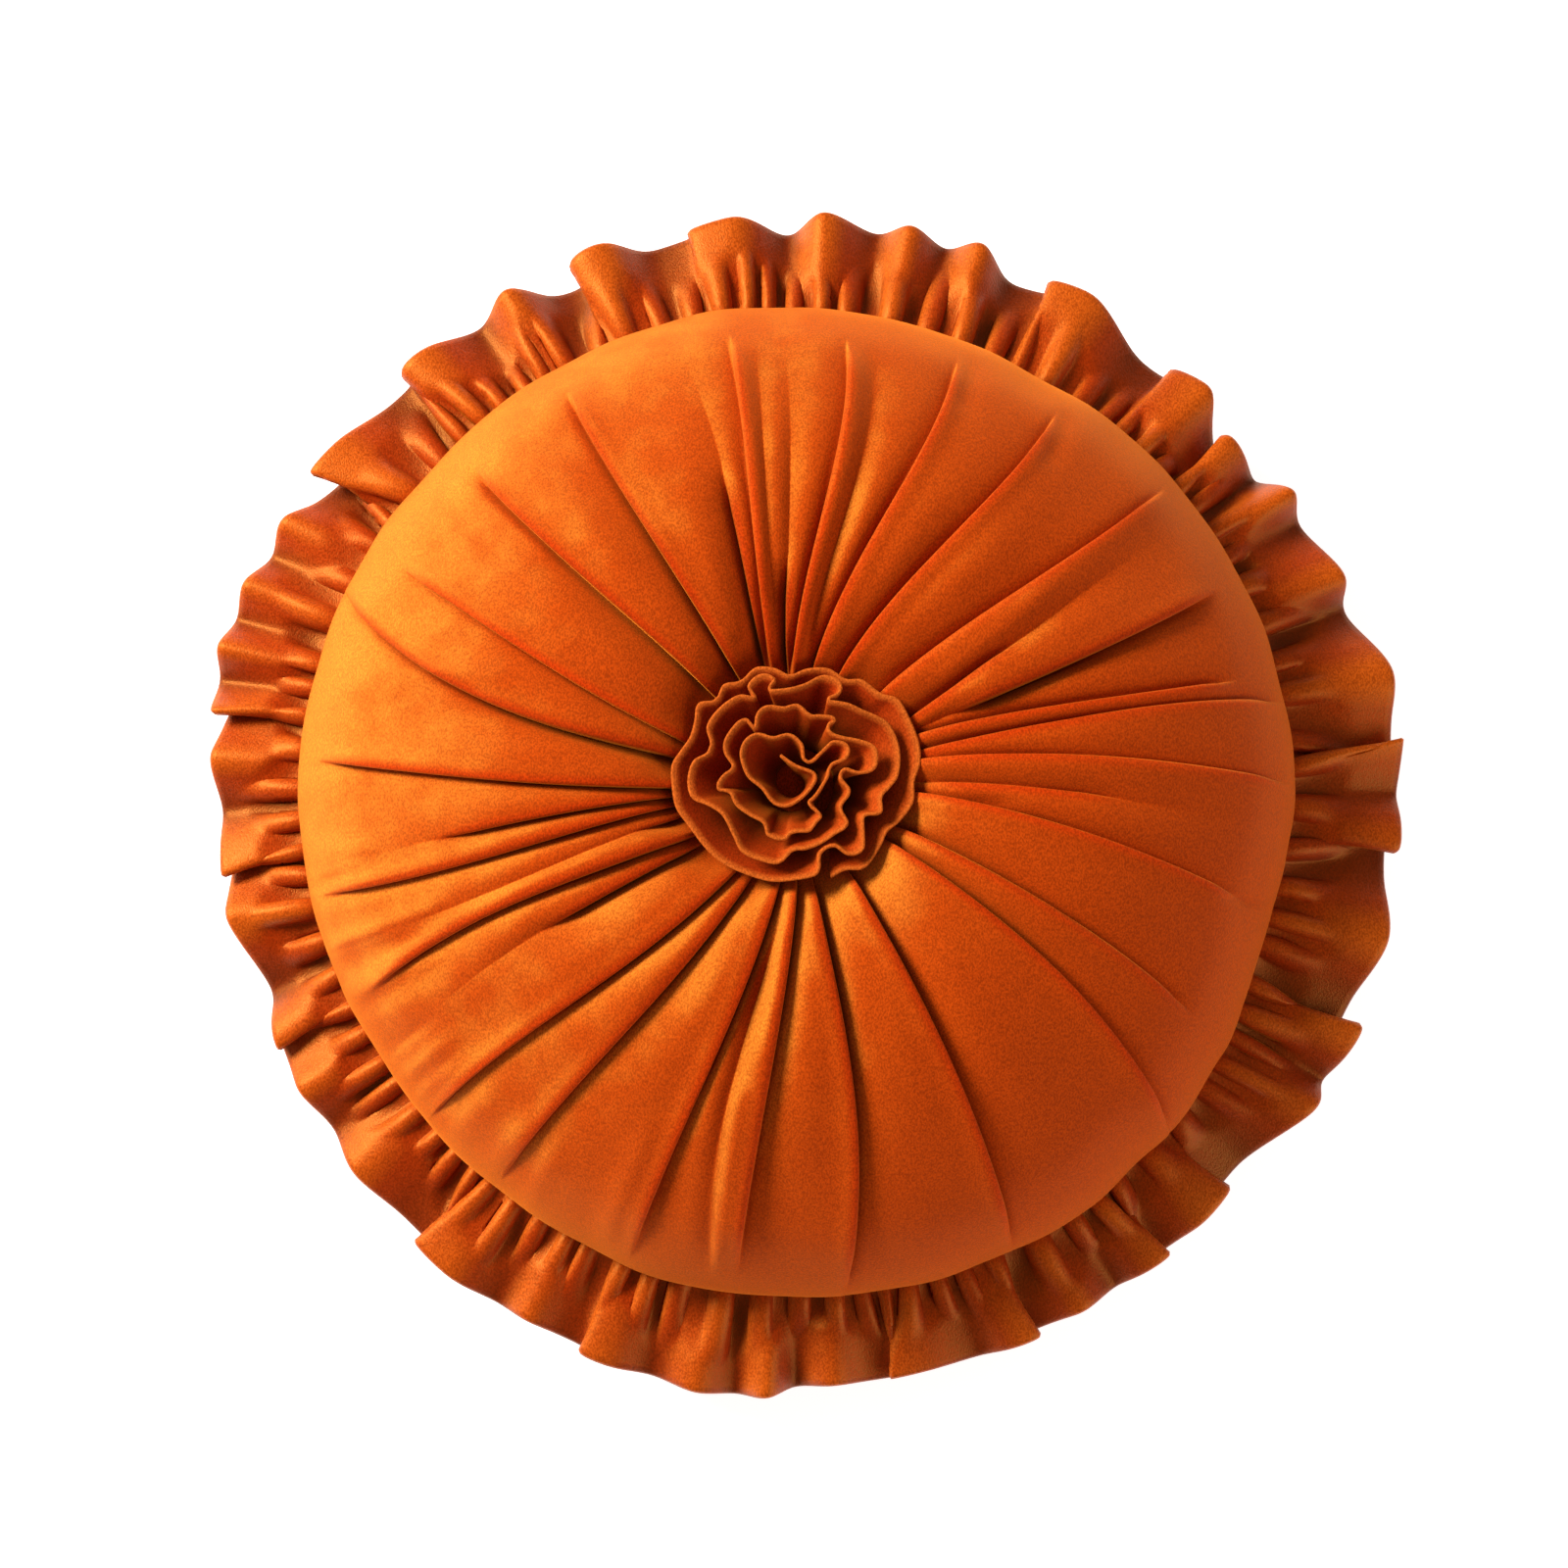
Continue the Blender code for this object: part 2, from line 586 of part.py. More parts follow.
def keep_apart(path, clear):
    """Moves neighbouring turns of the frill off each other until they are this far apart."""
    path = path.copy()
    step = np.linalg.norm(np.diff(path, axis=0), axis=1).mean()
    along = np.abs(np.arange(len(path))[:, None] - np.arange(len(path))[None, :])
    apart = along * step > APART_ALONG_STRIP * clear
    for _ in range(APART_ROUNDS):
        gap = path[:, None, :] - path[None, :, :]
        dist = np.linalg.norm(gap, axis=2) + NO_LESS_THAN
        push = np.where(apart, np.clip(clear - dist, 0.0, None), 0.0)
        move = (gap / dist[:, :, None] * push[:, :, None]).sum(axis=1)
        near = np.maximum(1, (push > 0.0).sum(axis=1))[:, None]
        path += APART_EACH_ROUND * move / near
    return path


def frill_top():
    """The top edge of the frill, from its inner end to its curled outer end."""
    stops = []
    for out_across, out_up, in_across, in_up in FRILL_HEART + FRILL_SECOND + FRILL_THIRD + FRILL_RIM:
        stops.append((out_across, out_up))
        stops.append((in_across, in_up))
    return even_steps(smooth_path(stops, STEPS_A_STOP, False), FRILL_STEPS)


def bowl_height(reach):
    """The height of the dimple's floor under the rosette."""
    return np.interp(reach, [row[0] for row in FACE_PROFILE], [row[1] for row in FACE_PROFILE])


def make_rosette():
    """The frilled strip: wound round and round on its sewn edge, its folds opening out at the top."""
    top = keep_apart(frill_top(), FRILL_CLEAR)
    turning = np.degrees(np.unwrap(np.arctan2(top[:, 1], top[:, 0])))
    turning = np.minimum.accumulate(soften(turning, WINDING_SOFTENS))
    turning = soften(turning, WOUND_SOFTENS)
    wound = (turning[0] - turning) / FULL_TURN
    tuck_reach = FRILL_TUCK_REACH + FRILL_TUCK_PITCH * wound
    tuck = tuck_reach[:, None] * np.column_stack([np.cos(np.radians(turning)), np.sin(np.radians(turning))])
    middle = tuck + FRILL_FLARE * (top - tuck)
    middle = keep_apart(middle, FRILL_MIDDLE_CLEAR)
    reach = soften(np.linalg.norm(top, axis=1), REACH_SOFTENS)
    outer = ease(reach, FRILL_RIM_FROM, FRILL_RIM_TO)
    stands = FRILL_STANDS * (1.0 - outer) + FRILL_RIM_STANDS * outer
    foot = bowl_height(tuck_reach) + FRILL_FOOT_CLEAR
    rows = []
    for flat, level in ((tuck, 0.0), (middle, FRILL_MID_LEVEL), (top, 1.0)):
        placed = flat + np.array((DIMPLE_ACROSS, DIMPLE_UP))
        rows.append(np.column_stack([placed, foot + stands * level]))
    grid = np.array(rows)
    along = np.gradient(grid, axis=1)
    sides = []
    for row in range(len(grid)):
        side = np.column_stack([-along[row][:, 1], along[row][:, 0], np.zeros(len(top))])
        sides.append(side / np.linalg.norm(side, axis=1)[:, None])
    facing = np.array(sides)
    one = grid + 0.5 * FRILL_THICK * facing
    other = grid - 0.5 * FRILL_THICK * facing
    return make_ribbon("rosette", one, other, False, ROSETTE_COLOUR, VELVET_ROUGHNESS)


for old in list(bpy.data.objects):
    bpy.data.objects.remove(old)
make_cushion()
make_ruffle()
make_rosette()
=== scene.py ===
# %% [markdown]
# # A round pleated velvet cushion
# This notebook dresses a plain solid cushion as the real one in the photo: a filled velvet puff
# tucked into a dimple, a gathered ruffle in its seam and a frilled rosette. The solids come from
# the frame file, and every piece made here sits in the space of the solid that it stands for.

# %% Load the frame
import math
import bpy
import numpy as np
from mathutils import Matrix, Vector


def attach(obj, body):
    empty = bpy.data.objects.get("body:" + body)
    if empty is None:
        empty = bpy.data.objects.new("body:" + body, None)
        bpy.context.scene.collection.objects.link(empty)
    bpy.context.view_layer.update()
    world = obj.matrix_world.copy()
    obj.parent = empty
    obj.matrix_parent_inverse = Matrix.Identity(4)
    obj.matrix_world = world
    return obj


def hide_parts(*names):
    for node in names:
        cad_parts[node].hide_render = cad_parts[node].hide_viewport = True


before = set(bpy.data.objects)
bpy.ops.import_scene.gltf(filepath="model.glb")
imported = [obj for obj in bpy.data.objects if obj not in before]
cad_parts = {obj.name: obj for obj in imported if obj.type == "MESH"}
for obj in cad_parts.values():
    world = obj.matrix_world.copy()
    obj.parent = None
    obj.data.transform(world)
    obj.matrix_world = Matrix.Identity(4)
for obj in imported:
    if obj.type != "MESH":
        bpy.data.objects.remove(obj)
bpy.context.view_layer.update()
MM = 0.001
FULL_TURN = 360.0
SEED = 7

# %% [markdown]
# ## Camera, floor and light
# The photo looks almost straight down on the face. A long lens from 1.5 m keeps the circle round.
# One large soft light from the upper left makes the pleats read, and a pale surround fills the rest.

# %% Camera
CAMERA_AWAY = 1.5
CAMERA_LENS = 90.0
CAMERA_HEIGHT_ANGLE = 82.0
LOOKS_AT = (-5.4, 3.1, 62.0)

lift_angle = math.radians(CAMERA_HEIGHT_ANGLE)
target = Vector([MM * c for c in LOOKS_AT])
away = Vector((0.0, -math.cos(lift_angle), math.sin(lift_angle)))
camera_data = bpy.data.cameras.new("camera")
camera_data.lens = CAMERA_LENS
camera = bpy.data.objects.new("camera", camera_data)
camera.location = target + CAMERA_AWAY * away
camera.rotation_euler = (-away).to_track_quat("-Z", "Y").to_euler()
bpy.context.scene.collection.objects.link(camera)
bpy.context.scene.camera = camera


# %% Floor and lights
LIGHTS_AIM = (0.0, 0.0, 0.05)
SURROUND_LIGHT = 0.24
WHITE = (1.0, 1.0, 1.0, 1.0)
FLOOR_HALF = 3.0
FLOOR_COLOUR = (0.9, 0.9, 0.9, 1.0)
FLOOR_ROUGHNESS = 0.9
FLOOR_GLOW = 0.7


def soft_light(name, at, size, power, colour):
    """A square soft box that faces the cushion."""
    data = bpy.data.lights.new(name, "AREA")
    data.size = size
    data.energy = power
    data.color = colour
    light = bpy.data.objects.new(name, data)
    light.location = at
    light.rotation_euler = (Vector(LIGHTS_AIM) - Vector(at)).to_track_quat("-Z", "Y").to_euler()
    bpy.context.scene.collection.objects.link(light)
    return light


soft_light("window", at=(-1.65, 0.95, 1.4), size=0.9, power=92.0, colour=(1.0, 0.95, 0.88))
soft_light("far_fill", at=(1.7, -1.1, 1.0), size=1.2, power=20.0, colour=(1.0, 0.95, 0.9))

world = bpy.data.worlds.new("studio")
world.use_nodes = True
surround = world.node_tree.nodes["Background"].inputs
surround["Color"].default_value = WHITE
surround["Strength"].default_value = SURROUND_LIGHT
bpy.context.scene.world = world
bpy.context.scene.view_settings.view_transform = "Standard"

floor_mesh = bpy.data.meshes.new("floor")
corner_signs = ((-1, -1), (1, -1), (1, 1), (-1, 1))
floor_corners = [(x * FLOOR_HALF, y * FLOOR_HALF, 0.0) for x, y in corner_signs]
floor_mesh.from_pydata(floor_corners, [], [(0, 1, 2, 3)])
floor = bpy.data.objects.new("floor", floor_mesh)
floor_paint = bpy.data.materials.new("pale_floor")
floor_paint.use_nodes = True
floor_finish = floor_paint.node_tree.nodes["Principled BSDF"].inputs
floor_finish["Base Color"].default_value = FLOOR_COLOUR
floor_finish["Roughness"].default_value = FLOOR_ROUGHNESS
floor_finish["Emission Color"].default_value = WHITE
floor_finish["Emission Strength"].default_value = FLOOR_GLOW
floor_mesh.materials.append(floor_paint)
bpy.context.scene.collection.objects.link(floor)
print("camera", CAMERA_AWAY, "m away,", len(bpy.data.lights), "soft lights and a pale floor")

# %% [markdown]
# ## Velvet
# Velvet is a short, dense pile. Seen from above the pile is dark and rich; seen across its tips it
# glows, which is what the sheen does here. The colour also carries painted light and shade: slopes
# facing the upper left are painted paler and those turned away deeper, creases are painted darker
# from a field of their own, and fold edges take a tone of their own, which on the ruffle and rosette
# is a painted highlight. Brush marks are slow noise, and the pile itself is a very fine noise in
# colour and bump.


# %% Velvet material
# Painted light: slopes that face this way, towards the upper-left lamp, get paler tones, and slopes
# turned away get deeper ones.
PAINTED_LIGHT_FROM = (-0.82, 0.42, 0.39)
BRUSH_SCALE = 14.0
BRUSH_DETAIL = 3.0
BRUSH_RANGE = (0.3, 0.7, -0.07, 0.07)
MARKS_SCALE = 70.0
MARKS_DETAIL = 6.0
MARKS_RANGE = (0.35, 0.7, -0.06, 0.06)
SHADED_SIDE_TO_MIDDLE = (0.1, 0.55)
MIDDLE_TO_LIT_SIDE = (0.45, 1.0)
PILE_SCALE = 1700.0
PILE_DETAIL = 2.0
PILE_STRETCH = (1.0, 0.6, 1.0)
PILE_RANGE = (0.3, 0.7)
SPECKLE_DARK = (0.70, 0.64, 0.60)
SPECKLE_LIGHT = (1.26, 1.32, 1.32)
PILE_BUMP = 0.45
PILE_HEIGHT = 0.0004
ROUGHNESS_LESS = 0.06
ROUGHNESS_MORE = 0.08
SHINE_TINT = (1.0, 0.36, 0.05, 1.0)
SHEEN_ROUGHNESS = 0.5
SHEEN_TINT = (1.0, 0.29, 0.024, 1.0)


def velvet(name, tones, painted_crease_shade, edge, sheen, roughness, shine):
    """A pile fabric. Its three tones are painted shade on slopes turned from the upper-left light, the
    middle tone, and painted light on slopes that face it. Its crease colour is painted shade down in a
    crease, and edge is its colour along a fold's edge, a paler painted highlight on ruffle and rosette."""
    material = bpy.data.materials.new(name)
    material.use_nodes = True
    tree = material.node_tree
    finish = tree.nodes["Principled BSDF"]

    def node(kind, **settings):
        made = tree.nodes.new(kind)
        for key, value in settings.items():
            setattr(made, key, value)
        return made

    def noise(scale, detail, stretch=(1.0, 1.0, 1.0)):
        mapping = node("ShaderNodeMapping")
        mapping.inputs["Scale"].default_value = stretch
        tree.links.new(where.outputs["Object"], mapping.inputs["Vector"])
        made = node("ShaderNodeTexNoise")
        made.inputs["Scale"].default_value = scale
        made.inputs["Detail"].default_value = detail
        tree.links.new(mapping.outputs["Vector"], made.inputs["Vector"])
        return made.outputs["Fac"]

    def ranged(value, low, high, to_low=0.0, to_high=1.0):
        made = node("ShaderNodeMapRange", interpolation_type="SMOOTHSTEP")
        made.inputs["From Min"].default_value = low
        made.inputs["From Max"].default_value = high
        made.inputs["To Min"].default_value = to_low
        made.inputs["To Max"].default_value = to_high
        tree.links.new(value, made.inputs["Value"])
        return made.outputs["Result"]

    def sums(operation, first, second):
        made = node("ShaderNodeMath", operation=operation)
        tree.links.new(first, made.inputs[0])
        if isinstance(second, float):
            made.inputs[1].default_value = second
        else:
            tree.links.new(second, made.inputs[1])
        return made.outputs["Value"]

    def mixed(factor, first, second, blend="MIX"):
        made = node("ShaderNodeMix", data_type="RGBA", blend_type=blend)
        for key, value in (("Factor", factor), ("A", first), ("B", second)):
            kind = "VALUE" if key == "Factor" else "RGBA"
            socket = next(s for s in made.inputs if s.name == key and s.type == kind)
            if isinstance(value, float):
                socket.default_value = value
            elif isinstance(value, tuple):
                socket.default_value = (*value, 1.0)
            else:
                tree.links.new(value, socket)
        return next(s for s in made.outputs if s.type == "RGBA")

    def field(attribute):
        return node("ShaderNodeAttribute", attribute_name=attribute).outputs["Fac"]

    where = node("ShaderNodeTexCoord")
    # Painted light and shade: the tone follows how far the surface faces the upper left, with slow brush
    # marks added.
    faces_light = node("ShaderNodeVectorMath", operation="DOT_PRODUCT")
    faces_light.inputs[1].default_value = PAINTED_LIGHT_FROM
    tree.links.new(where.outputs["Normal"], faces_light.inputs[0])
    brush = ranged(noise(BRUSH_SCALE, BRUSH_DETAIL), *BRUSH_RANGE)
    marks = ranged(noise(MARKS_SCALE, MARKS_DETAIL), *MARKS_RANGE)
    lit_side_and_brush = sums("ADD", faces_light.outputs["Value"], sums("ADD", brush, marks))
    pile = noise(PILE_SCALE, PILE_DETAIL, PILE_STRETCH)
    tone = mixed(ranged(lit_side_and_brush, *SHADED_SIDE_TO_MIDDLE), tones[0], tones[1])
    tone = mixed(ranged(lit_side_and_brush, *MIDDLE_TO_LIT_SIDE), tone, tones[2])
    # A tone of its own along fold edges, a painted highlight on the ruffle and rosette; then painted
    # shade in the creases.
    tone = mixed(field("edge"), tone, edge)
    tone = mixed(field("crease_shade"), tone, painted_crease_shade)
    speckle = mixed(ranged(pile, *PILE_RANGE), SPECKLE_DARK, SPECKLE_LIGHT)
    tone = mixed(1.0, tone, speckle, "MULTIPLY")
    tree.links.new(tone, finish.inputs["Base Color"])
    bump = node("ShaderNodeBump")
    bump.inputs["Strength"].default_value = PILE_BUMP
    bump.inputs["Distance"].default_value = PILE_HEIGHT
    tree.links.new(pile, bump.inputs["Height"])
    tree.links.new(bump.outputs["Normal"], finish.inputs["Normal"])
    uneven = ranged(pile, *PILE_RANGE, roughness - ROUGHNESS_LESS, roughness + ROUGHNESS_MORE)
    tree.links.new(uneven, finish.inputs["Roughness"])
    finish.inputs["Specular IOR Level"].default_value = shine
    finish.inputs["Specular Tint"].default_value = SHINE_TINT
    finish.inputs["Sheen Weight"].default_value = sheen
    finish.inputs["Sheen Roughness"].default_value = SHEEN_ROUGHNESS
    finish.inputs["Sheen Tint"].default_value = SHEEN_TINT
    return material


# The pale third tone is painted light, and the crease colour is painted shade.
puff_velvet = velvet(
    "puff_velvet",
    tones=((0.42, 0.038, 0.0018), (0.46, 0.050, 0.0025), (0.70, 0.19, 0.018)),
    painted_crease_shade=(0.13, 0.003, 0.0005),
    edge=(0.52, 0.024, 0.001),
    sheen=0.75,
    roughness=0.8,
    shine=0.2,
)
# The pale third tone and the edge colour are painted highlights, and the crease colour is painted shade
# in the valleys.
ruffle_velvet = velvet(
    "ruffle_velvet",
    tones=((0.30, 0.020, 0.0010), (0.38, 0.033, 0.0016), (0.56, 0.10, 0.008)),
    painted_crease_shade=(0.06, 0.002, 0.0005),
    edge=(0.54, 0.088, 0.005),
    sheen=0.2,
    roughness=0.40,
    shine=0.8,
)
# The pale third tone and the edge colour are painted highlights, and the crease colour is painted shade
# at the strip's foot.
rosette_velvet = velvet(
    "rosette_velvet",
    tones=((0.26, 0.014, 0.0015), (0.34, 0.026, 0.0020), (0.46, 0.060, 0.006)),
    painted_crease_shade=(0.08, 0.003, 0.001),
    edge=(0.52, 0.10, 0.012),
    sheen=0.3,
    roughness=0.75,
    shine=0.2,
)
print("velvets", [made.name for made in (puff_velvet, ruffle_velvet, rosette_velvet)])

# %% [markdown]
# ## The filled puff
# The cover starts as a smooth pudding shape: a dimple, a crown and a drawn-in seam. Then each pleat
# is laid on it. A pleat is a tuck: the cloth rises to a rounded folded edge, turns back under it,
# and the next panel starts lower down. Each row of the table is one pleat read from the photo, and
# its line bends softly through three angles.

# %% Sizes and tables of the puff
PUFF_REACH = 190.0
DIMPLE = (-1.6, -1.9)
DIMPLE_HOLDS_TO = 50.0
DIMPLE_FADES_BY = 150.0
FACE_EASES_FROM = 100.0
PLEAT_NEAR = 45.0
PLEAT_MID = 108.0
PLEAT_RIM = 165.0
FACE_PROFILE = (
    # reach, height: the front, from its middle out to the seam
    (14.0, 98.6),
    (28.0, 100.8),
    (37.0, 108.0),
    (44.0, 113.4),
    (54.0, 119.2),
    (66.0, 122.8),
    (80.0, 124.4),
    (97.0, 123.6),
    (115.0, 120.6),
    (134.0, 114.8),
    (154.0, 105.6),
    (170.0, 94.8),
    (182.0, 80.4),
    (188.6, 68.0),
    (190.0, 60.0),
    (188.9, 55.2),
    (185.6, 52.2),
    (181.0, 51.3),
)
BACK_PROFILE = (
    # reach, height: the plain back, from the seam to the flat that it rests on
    (181.0, 48.7),
    (185.4, 47.8),
    (188.6, 44.6),
    (189.8, 37.0),
    (188.4, 26.5),
    (182.6, 15.6),
    (173.0, 7.6),
    (160.0, 2.4),
    (148.0, 0.5),
    (138.0, 0.0),
    (100.0, 0.0),
    (50.0, 0.0),
)
RIM_REACH = (
    # at, reach: how far the puff's fullest part reaches round its edge
    (0, 190.5),
    (20, 189.8),
    (40, 189.4),
    (60, 187.5),
    (75, 188.8),
    (90, 190.2),
    (105, 191.2),
    (120, 190.5),
    (135, 189.8),
    (157, 191.3),
    (185, 190.9),
    (195, 190.1),
    (210, 188.2),
    (235, 189.4),
    (260, 191.6),
    (290, 192.2),
    (305, 192.8),
    (312, 190.8),
    (317, 191.7),
    (328, 189.4),
    (335, 186.8),
    (345, 186.4),
    (352, 188.3),
)
PLEATS = (
    # near, mid, rim (degrees), starts, ends, ridge, drop, width (mm), opens (1 anticlockwise)
    (7.5, 2.8, 0.6, 30, 188, 1.2, 1.0, 1.7, 1),
    (11.4, 10.7, 10.2, 30, 190, 0.5, 2.4, 2.4, 1),
    (19.0, 13.7, 12.8, 30, 172, 1.6, 2.4, 1.7, 1),
    (21.6, 22.0, 24.2, 60, 176, 1.6, 4.2, 2.2, -1),
    (26.6, 31.5, 34.0, 30, 100, 0.8, 2.6, 2.4, 1),
    (44.5, 39.2, 38.6, 30, 182, 1.5, 1.6, 1.6, 1),
    (66.0, 56.3, 54.8, 30, 176, 1.7, 1.9, 1.6, 1),
    (79.5, 70.3, 69.0, 30, 178, 1.7, 1.9, 1.6, 1),
    (85.0, 78.8, 80.0, 45, 172, 0.0, 1.4, 4.5, 1),
    (90.2, 83.4, 83.5, 30, 172, 1.8, 1.9, 1.6, 1),
    (93.2, 91.4, 91.8, 30, 84, 1.0, 4.2, 2.0, 1),
    (97.4, 96.2, 95.6, 50, 170, 0.0, 1.2, 4.5, 1),
    (101.2, 99.3, 98.7, 30, 174, 1.7, 1.4, 1.6, 1),
    (104.0, 103.6, 105.0, 30, 120, 0.3, 4.0, 2.0, 1),
    (118.5, 121.4, 120.8, 30, 174, 1.2, 3.6, 1.8, 1),
    (133.8, 137.2, 136.2, 30, 174, 1.2, 3.6, 1.8, 1),
    (161.5, 156.0, 152.0, 30, 172, 1.5, 1.6, 1.6, 1),
    (169.7, 167.8, 160.7, 30, 192, 1.3, 4.0, 2.0, 1),
    (184.8, 181.6, 178.2, 30, 184, 1.2, 2.6, 1.7, 1),
    (188.6, 190.2, 190.6, 30, 138, 0.6, 3.0, 2.2, 1),
    (192.8, 195.4, 194.2, 30, 186, 1.2, 2.4, 1.8, 1),
    (198.6, 201.5, 200.5, 30, 64, 0.6, 3.4, 2.2, 1),
    (209.3, 205.2, 205.6, 30, 180, 1.4, 2.4, 1.7, 1),
    (214.4, 212.2, 213.0, 30, 112, 0.8, 3.2, 2.2, 1),
    (237.0, 227.0, 222.6, 30, 190, 1.4, 2.2, 1.7, 1),
    (245.5, 237.3, 233.6, 30, 188, 1.4, 2.2, 1.7, 1),
    (261.2, 254.0, 250.9, 30, 188, 1.5, 2.6, 1.7, 1),
    (265.6, 258.6, 258.6, 60, 188, 0.0, 2.2, 3.6, 1),
    (270.6, 265.0, 263.0, 30, 184, 2.4, 2.2, 1.8, 1),
    (280.2, 280.0, 277.2, 30, 192, 1.6, 3.6, 1.9, 1),
    (299.7, 297.8, 295.8, 30, 192, 1.8, 3.2, 1.8, 1),
    (325.0, 322.6, 319.0, 30, 193, 1.6, 3.2, 1.8, 1),
    (334.0, 331.4, 329.2, 30, 172, 1.6, 3.0, 1.8, 1),
    (352.2, 347.6, 345.2, 30, 178, 1.5, 1.8, 1.6, 1),
    (357.4, 355.4, 354.0, 40, 125, 0.2, 1.6, 2.6, 1),
)

RIPPLES = (
    # near, far (degrees), starts, ends, height, width (mm)
    (33.2, 36.2, 62, 118, 0.9, 3.0),
    (51.8, 54.0, 150, 176, -1.4, 5.0),
    (66.4, 67.4, 152, 178, -1.2, 5.0),
    (138.0, 138.4, 122, 176, 0.9, 3.4),
    (144.2, 140.4, 134, 176, -0.8, 4.0),
    (162.0, 166.4, 112, 168, 1.0, 3.2),
    (167.6, 169.4, 150, 178, 1.1, 3.0),
    (173.4, 172.6, 160, 184, 0.8, 3.0),
    (189.4, 187.8, 158, 186, 1.0, 3.0),
    (192.6, 191.6, 162, 187, -1.0, 3.0),
    (196.6, 195.0, 160, 186, 1.0, 2.6),
    (200.4, 199.0, 140, 187, 1.3, 3.0),
    (203.2, 202.2, 150, 188, -1.2, 2.4),
    (206.6, 205.4, 152, 187, 1.2, 2.6),
    (210.2, 209.2, 160, 187, 1.1, 2.8),
    (213.6, 213.0, 164, 187, -0.9, 3.0),
    (217.4, 216.8, 160, 186, 1.1, 2.8),
    (220.2, 219.4, 164, 187, 0.8, 2.6),
    (226.4, 226.0, 160, 186, 1.0, 3.0),
    (231.6, 231.4, 160, 186, 0.9, 3.2),
    (237.4, 237.2, 164, 187, 0.9, 3.0),
    (247.6, 247.0, 140, 184, 1.2, 4.0),
    (259.8, 260.4, 116, 182, 1.8, 2.6),
    (344.4, 345.6, 168, 184, -1.4, 2.2),
    (359.6, 359.2, 162, 178, -1.0, 2.4),
    (352.4, 351.6, 66, 82, -2.0, 2.2),
)


# %% [markdown]
# ## Shape helpers
# All three pieces are drawn as curves first and filled with faces afterwards. These few functions
# do the shared work: blends, curves through a table's stops, even steps, and a mesh from points.

# %% Shape helpers
DRIFT = 1.6


def ease(value, start, end):
    """0 at start, 1 at end, and smooth between them."""
    part = np.clip((value - start) / (end - start), 0.0, 1.0)
    return part * part * (3.0 - 2.0 * part)


def bell(value, width):
    """1 in the middle, falling softly to 0."""
    return np.exp(-((value / width) ** 2))


def round_the_clock(rows, degrees):
    """A value from a table of (at, value) rows, joined smoothly right round the cushion."""
    at = np.array([row[0] for row in rows], float)
    value = np.array([row[1] for row in rows], float)
    at = np.concatenate([[at[-1] - FULL_TURN], at, [at[0] + FULL_TURN]])
    value = np.concatenate([[value[-1]], value, [value[0]]])
    turned = np.mod(degrees, FULL_TURN)
    place = np.clip(np.searchsorted(at, turned, side="right") - 1, 0, len(at) - 2)
    part = ease(turned, at[place], at[place + 1])
    return value[place] * (1.0 - part) + value[place + 1] * part


def smooth_path(stops, per_stop, closed):
    """Points along a soft curve through the stops."""
    stops = np.array(stops, float)
    count = len(stops)
    spans = count if closed else count - 1
    number = np.arange(spans)[:, None] + np.array([-1, 0, 1, 2])[None, :]
    number = number % count if closed else np.clip(number, 0, count - 1)
    before, here, there, after = (stops[number[:, i]][:, None, :] for i in range(4))
    t = (np.arange(per_stop) / per_stop)[None, :, None]
    path = 0.5 * (2.0 * here + (there - before) * t
                  + (2.0 * before - 5.0 * here + 4.0 * there - after) * t ** 2
                  + (3.0 * here - before - 3.0 * there + after) * t ** 3)
    path = path.reshape(-1, stops.shape[1])
    return path if closed else np.vstack([path, stops[-1:]])


def even_steps(path, count):
    """The same path with its points evenly spaced."""
    length = np.concatenate([[0.0], np.cumsum(np.linalg.norm(np.diff(path, axis=0), axis=1))])
    want = np.linspace(0.0, length[-1], count)
    return np.column_stack([np.interp(want, length, path[:, i]) for i in range(path.shape[1])])


def soften(values, steps):
    """The running mean of a path or list, its ends held."""
    reach = np.arange(-steps, steps + 1)
    index = np.clip(np.arange(len(values))[:, None] + reach[None, :], 0, len(values) - 1)
    weight = 1.0 + np.cos(math.pi * reach / (steps + 1.0))
    return np.tensordot(values[index], weight / weight.sum(), axes=([1], [0]))


def waves(degrees, reach, seed, turns, slow):
    """Gentle unevenness: a few seeded ripples round the cushion that drift with the reach."""
    dice = np.random.default_rng(seed)
    total = np.zeros(np.broadcast(degrees, reach).shape)
    for turn in turns:
        phase, drift = dice.uniform(0.0, 2.0 * math.pi, 2)
        wander = np.sin(reach / slow + drift) * DRIFT
        total = total + np.sin(np.radians(degrees) * turn + phase + wander)
    return total / math.sqrt(len(turns))


def turn_from(degrees, at):
    """How far round each angle lies from this one, the short way."""
    return (degrees - at + 0.5 * FULL_TURN) % FULL_TURN - 0.5 * FULL_TURN


def rim_scale(reach, degrees):
    """How much further out the cloth lies than on a true circle."""
    uneven = round_the_clock(RIM_REACH, degrees) / PUFF_REACH - 1.0
    return 1.0 + uneven * ease(reach, FACE_EASES_FROM, PUFF_REACH)


def cloth_body(name, points, faces, material, fields):
    """One smooth piece from points in millimetres, with the fields that its velvet reads."""
    mesh = bpy.data.meshes.new(name)
    mesh.from_pydata((points * MM).tolist(), [], faces)
    for field, values in fields.items():
        layer = mesh.attributes.new(field, "FLOAT", "POINT")
        layer.data.foreach_set("value", np.clip(values, 0.0, 1.0).astype(np.float32))
    mesh.polygons.foreach_set("use_smooth", [True] * len(mesh.polygons))
    mesh.materials.append(material)
    mesh.update()
    body = bpy.data.objects.new(name, mesh)
    bpy.context.scene.collection.objects.link(body)
    print(name, len(mesh.polygons), "faces", [round(d * 1000, 1) for d in body.dimensions], "mm")
    return body


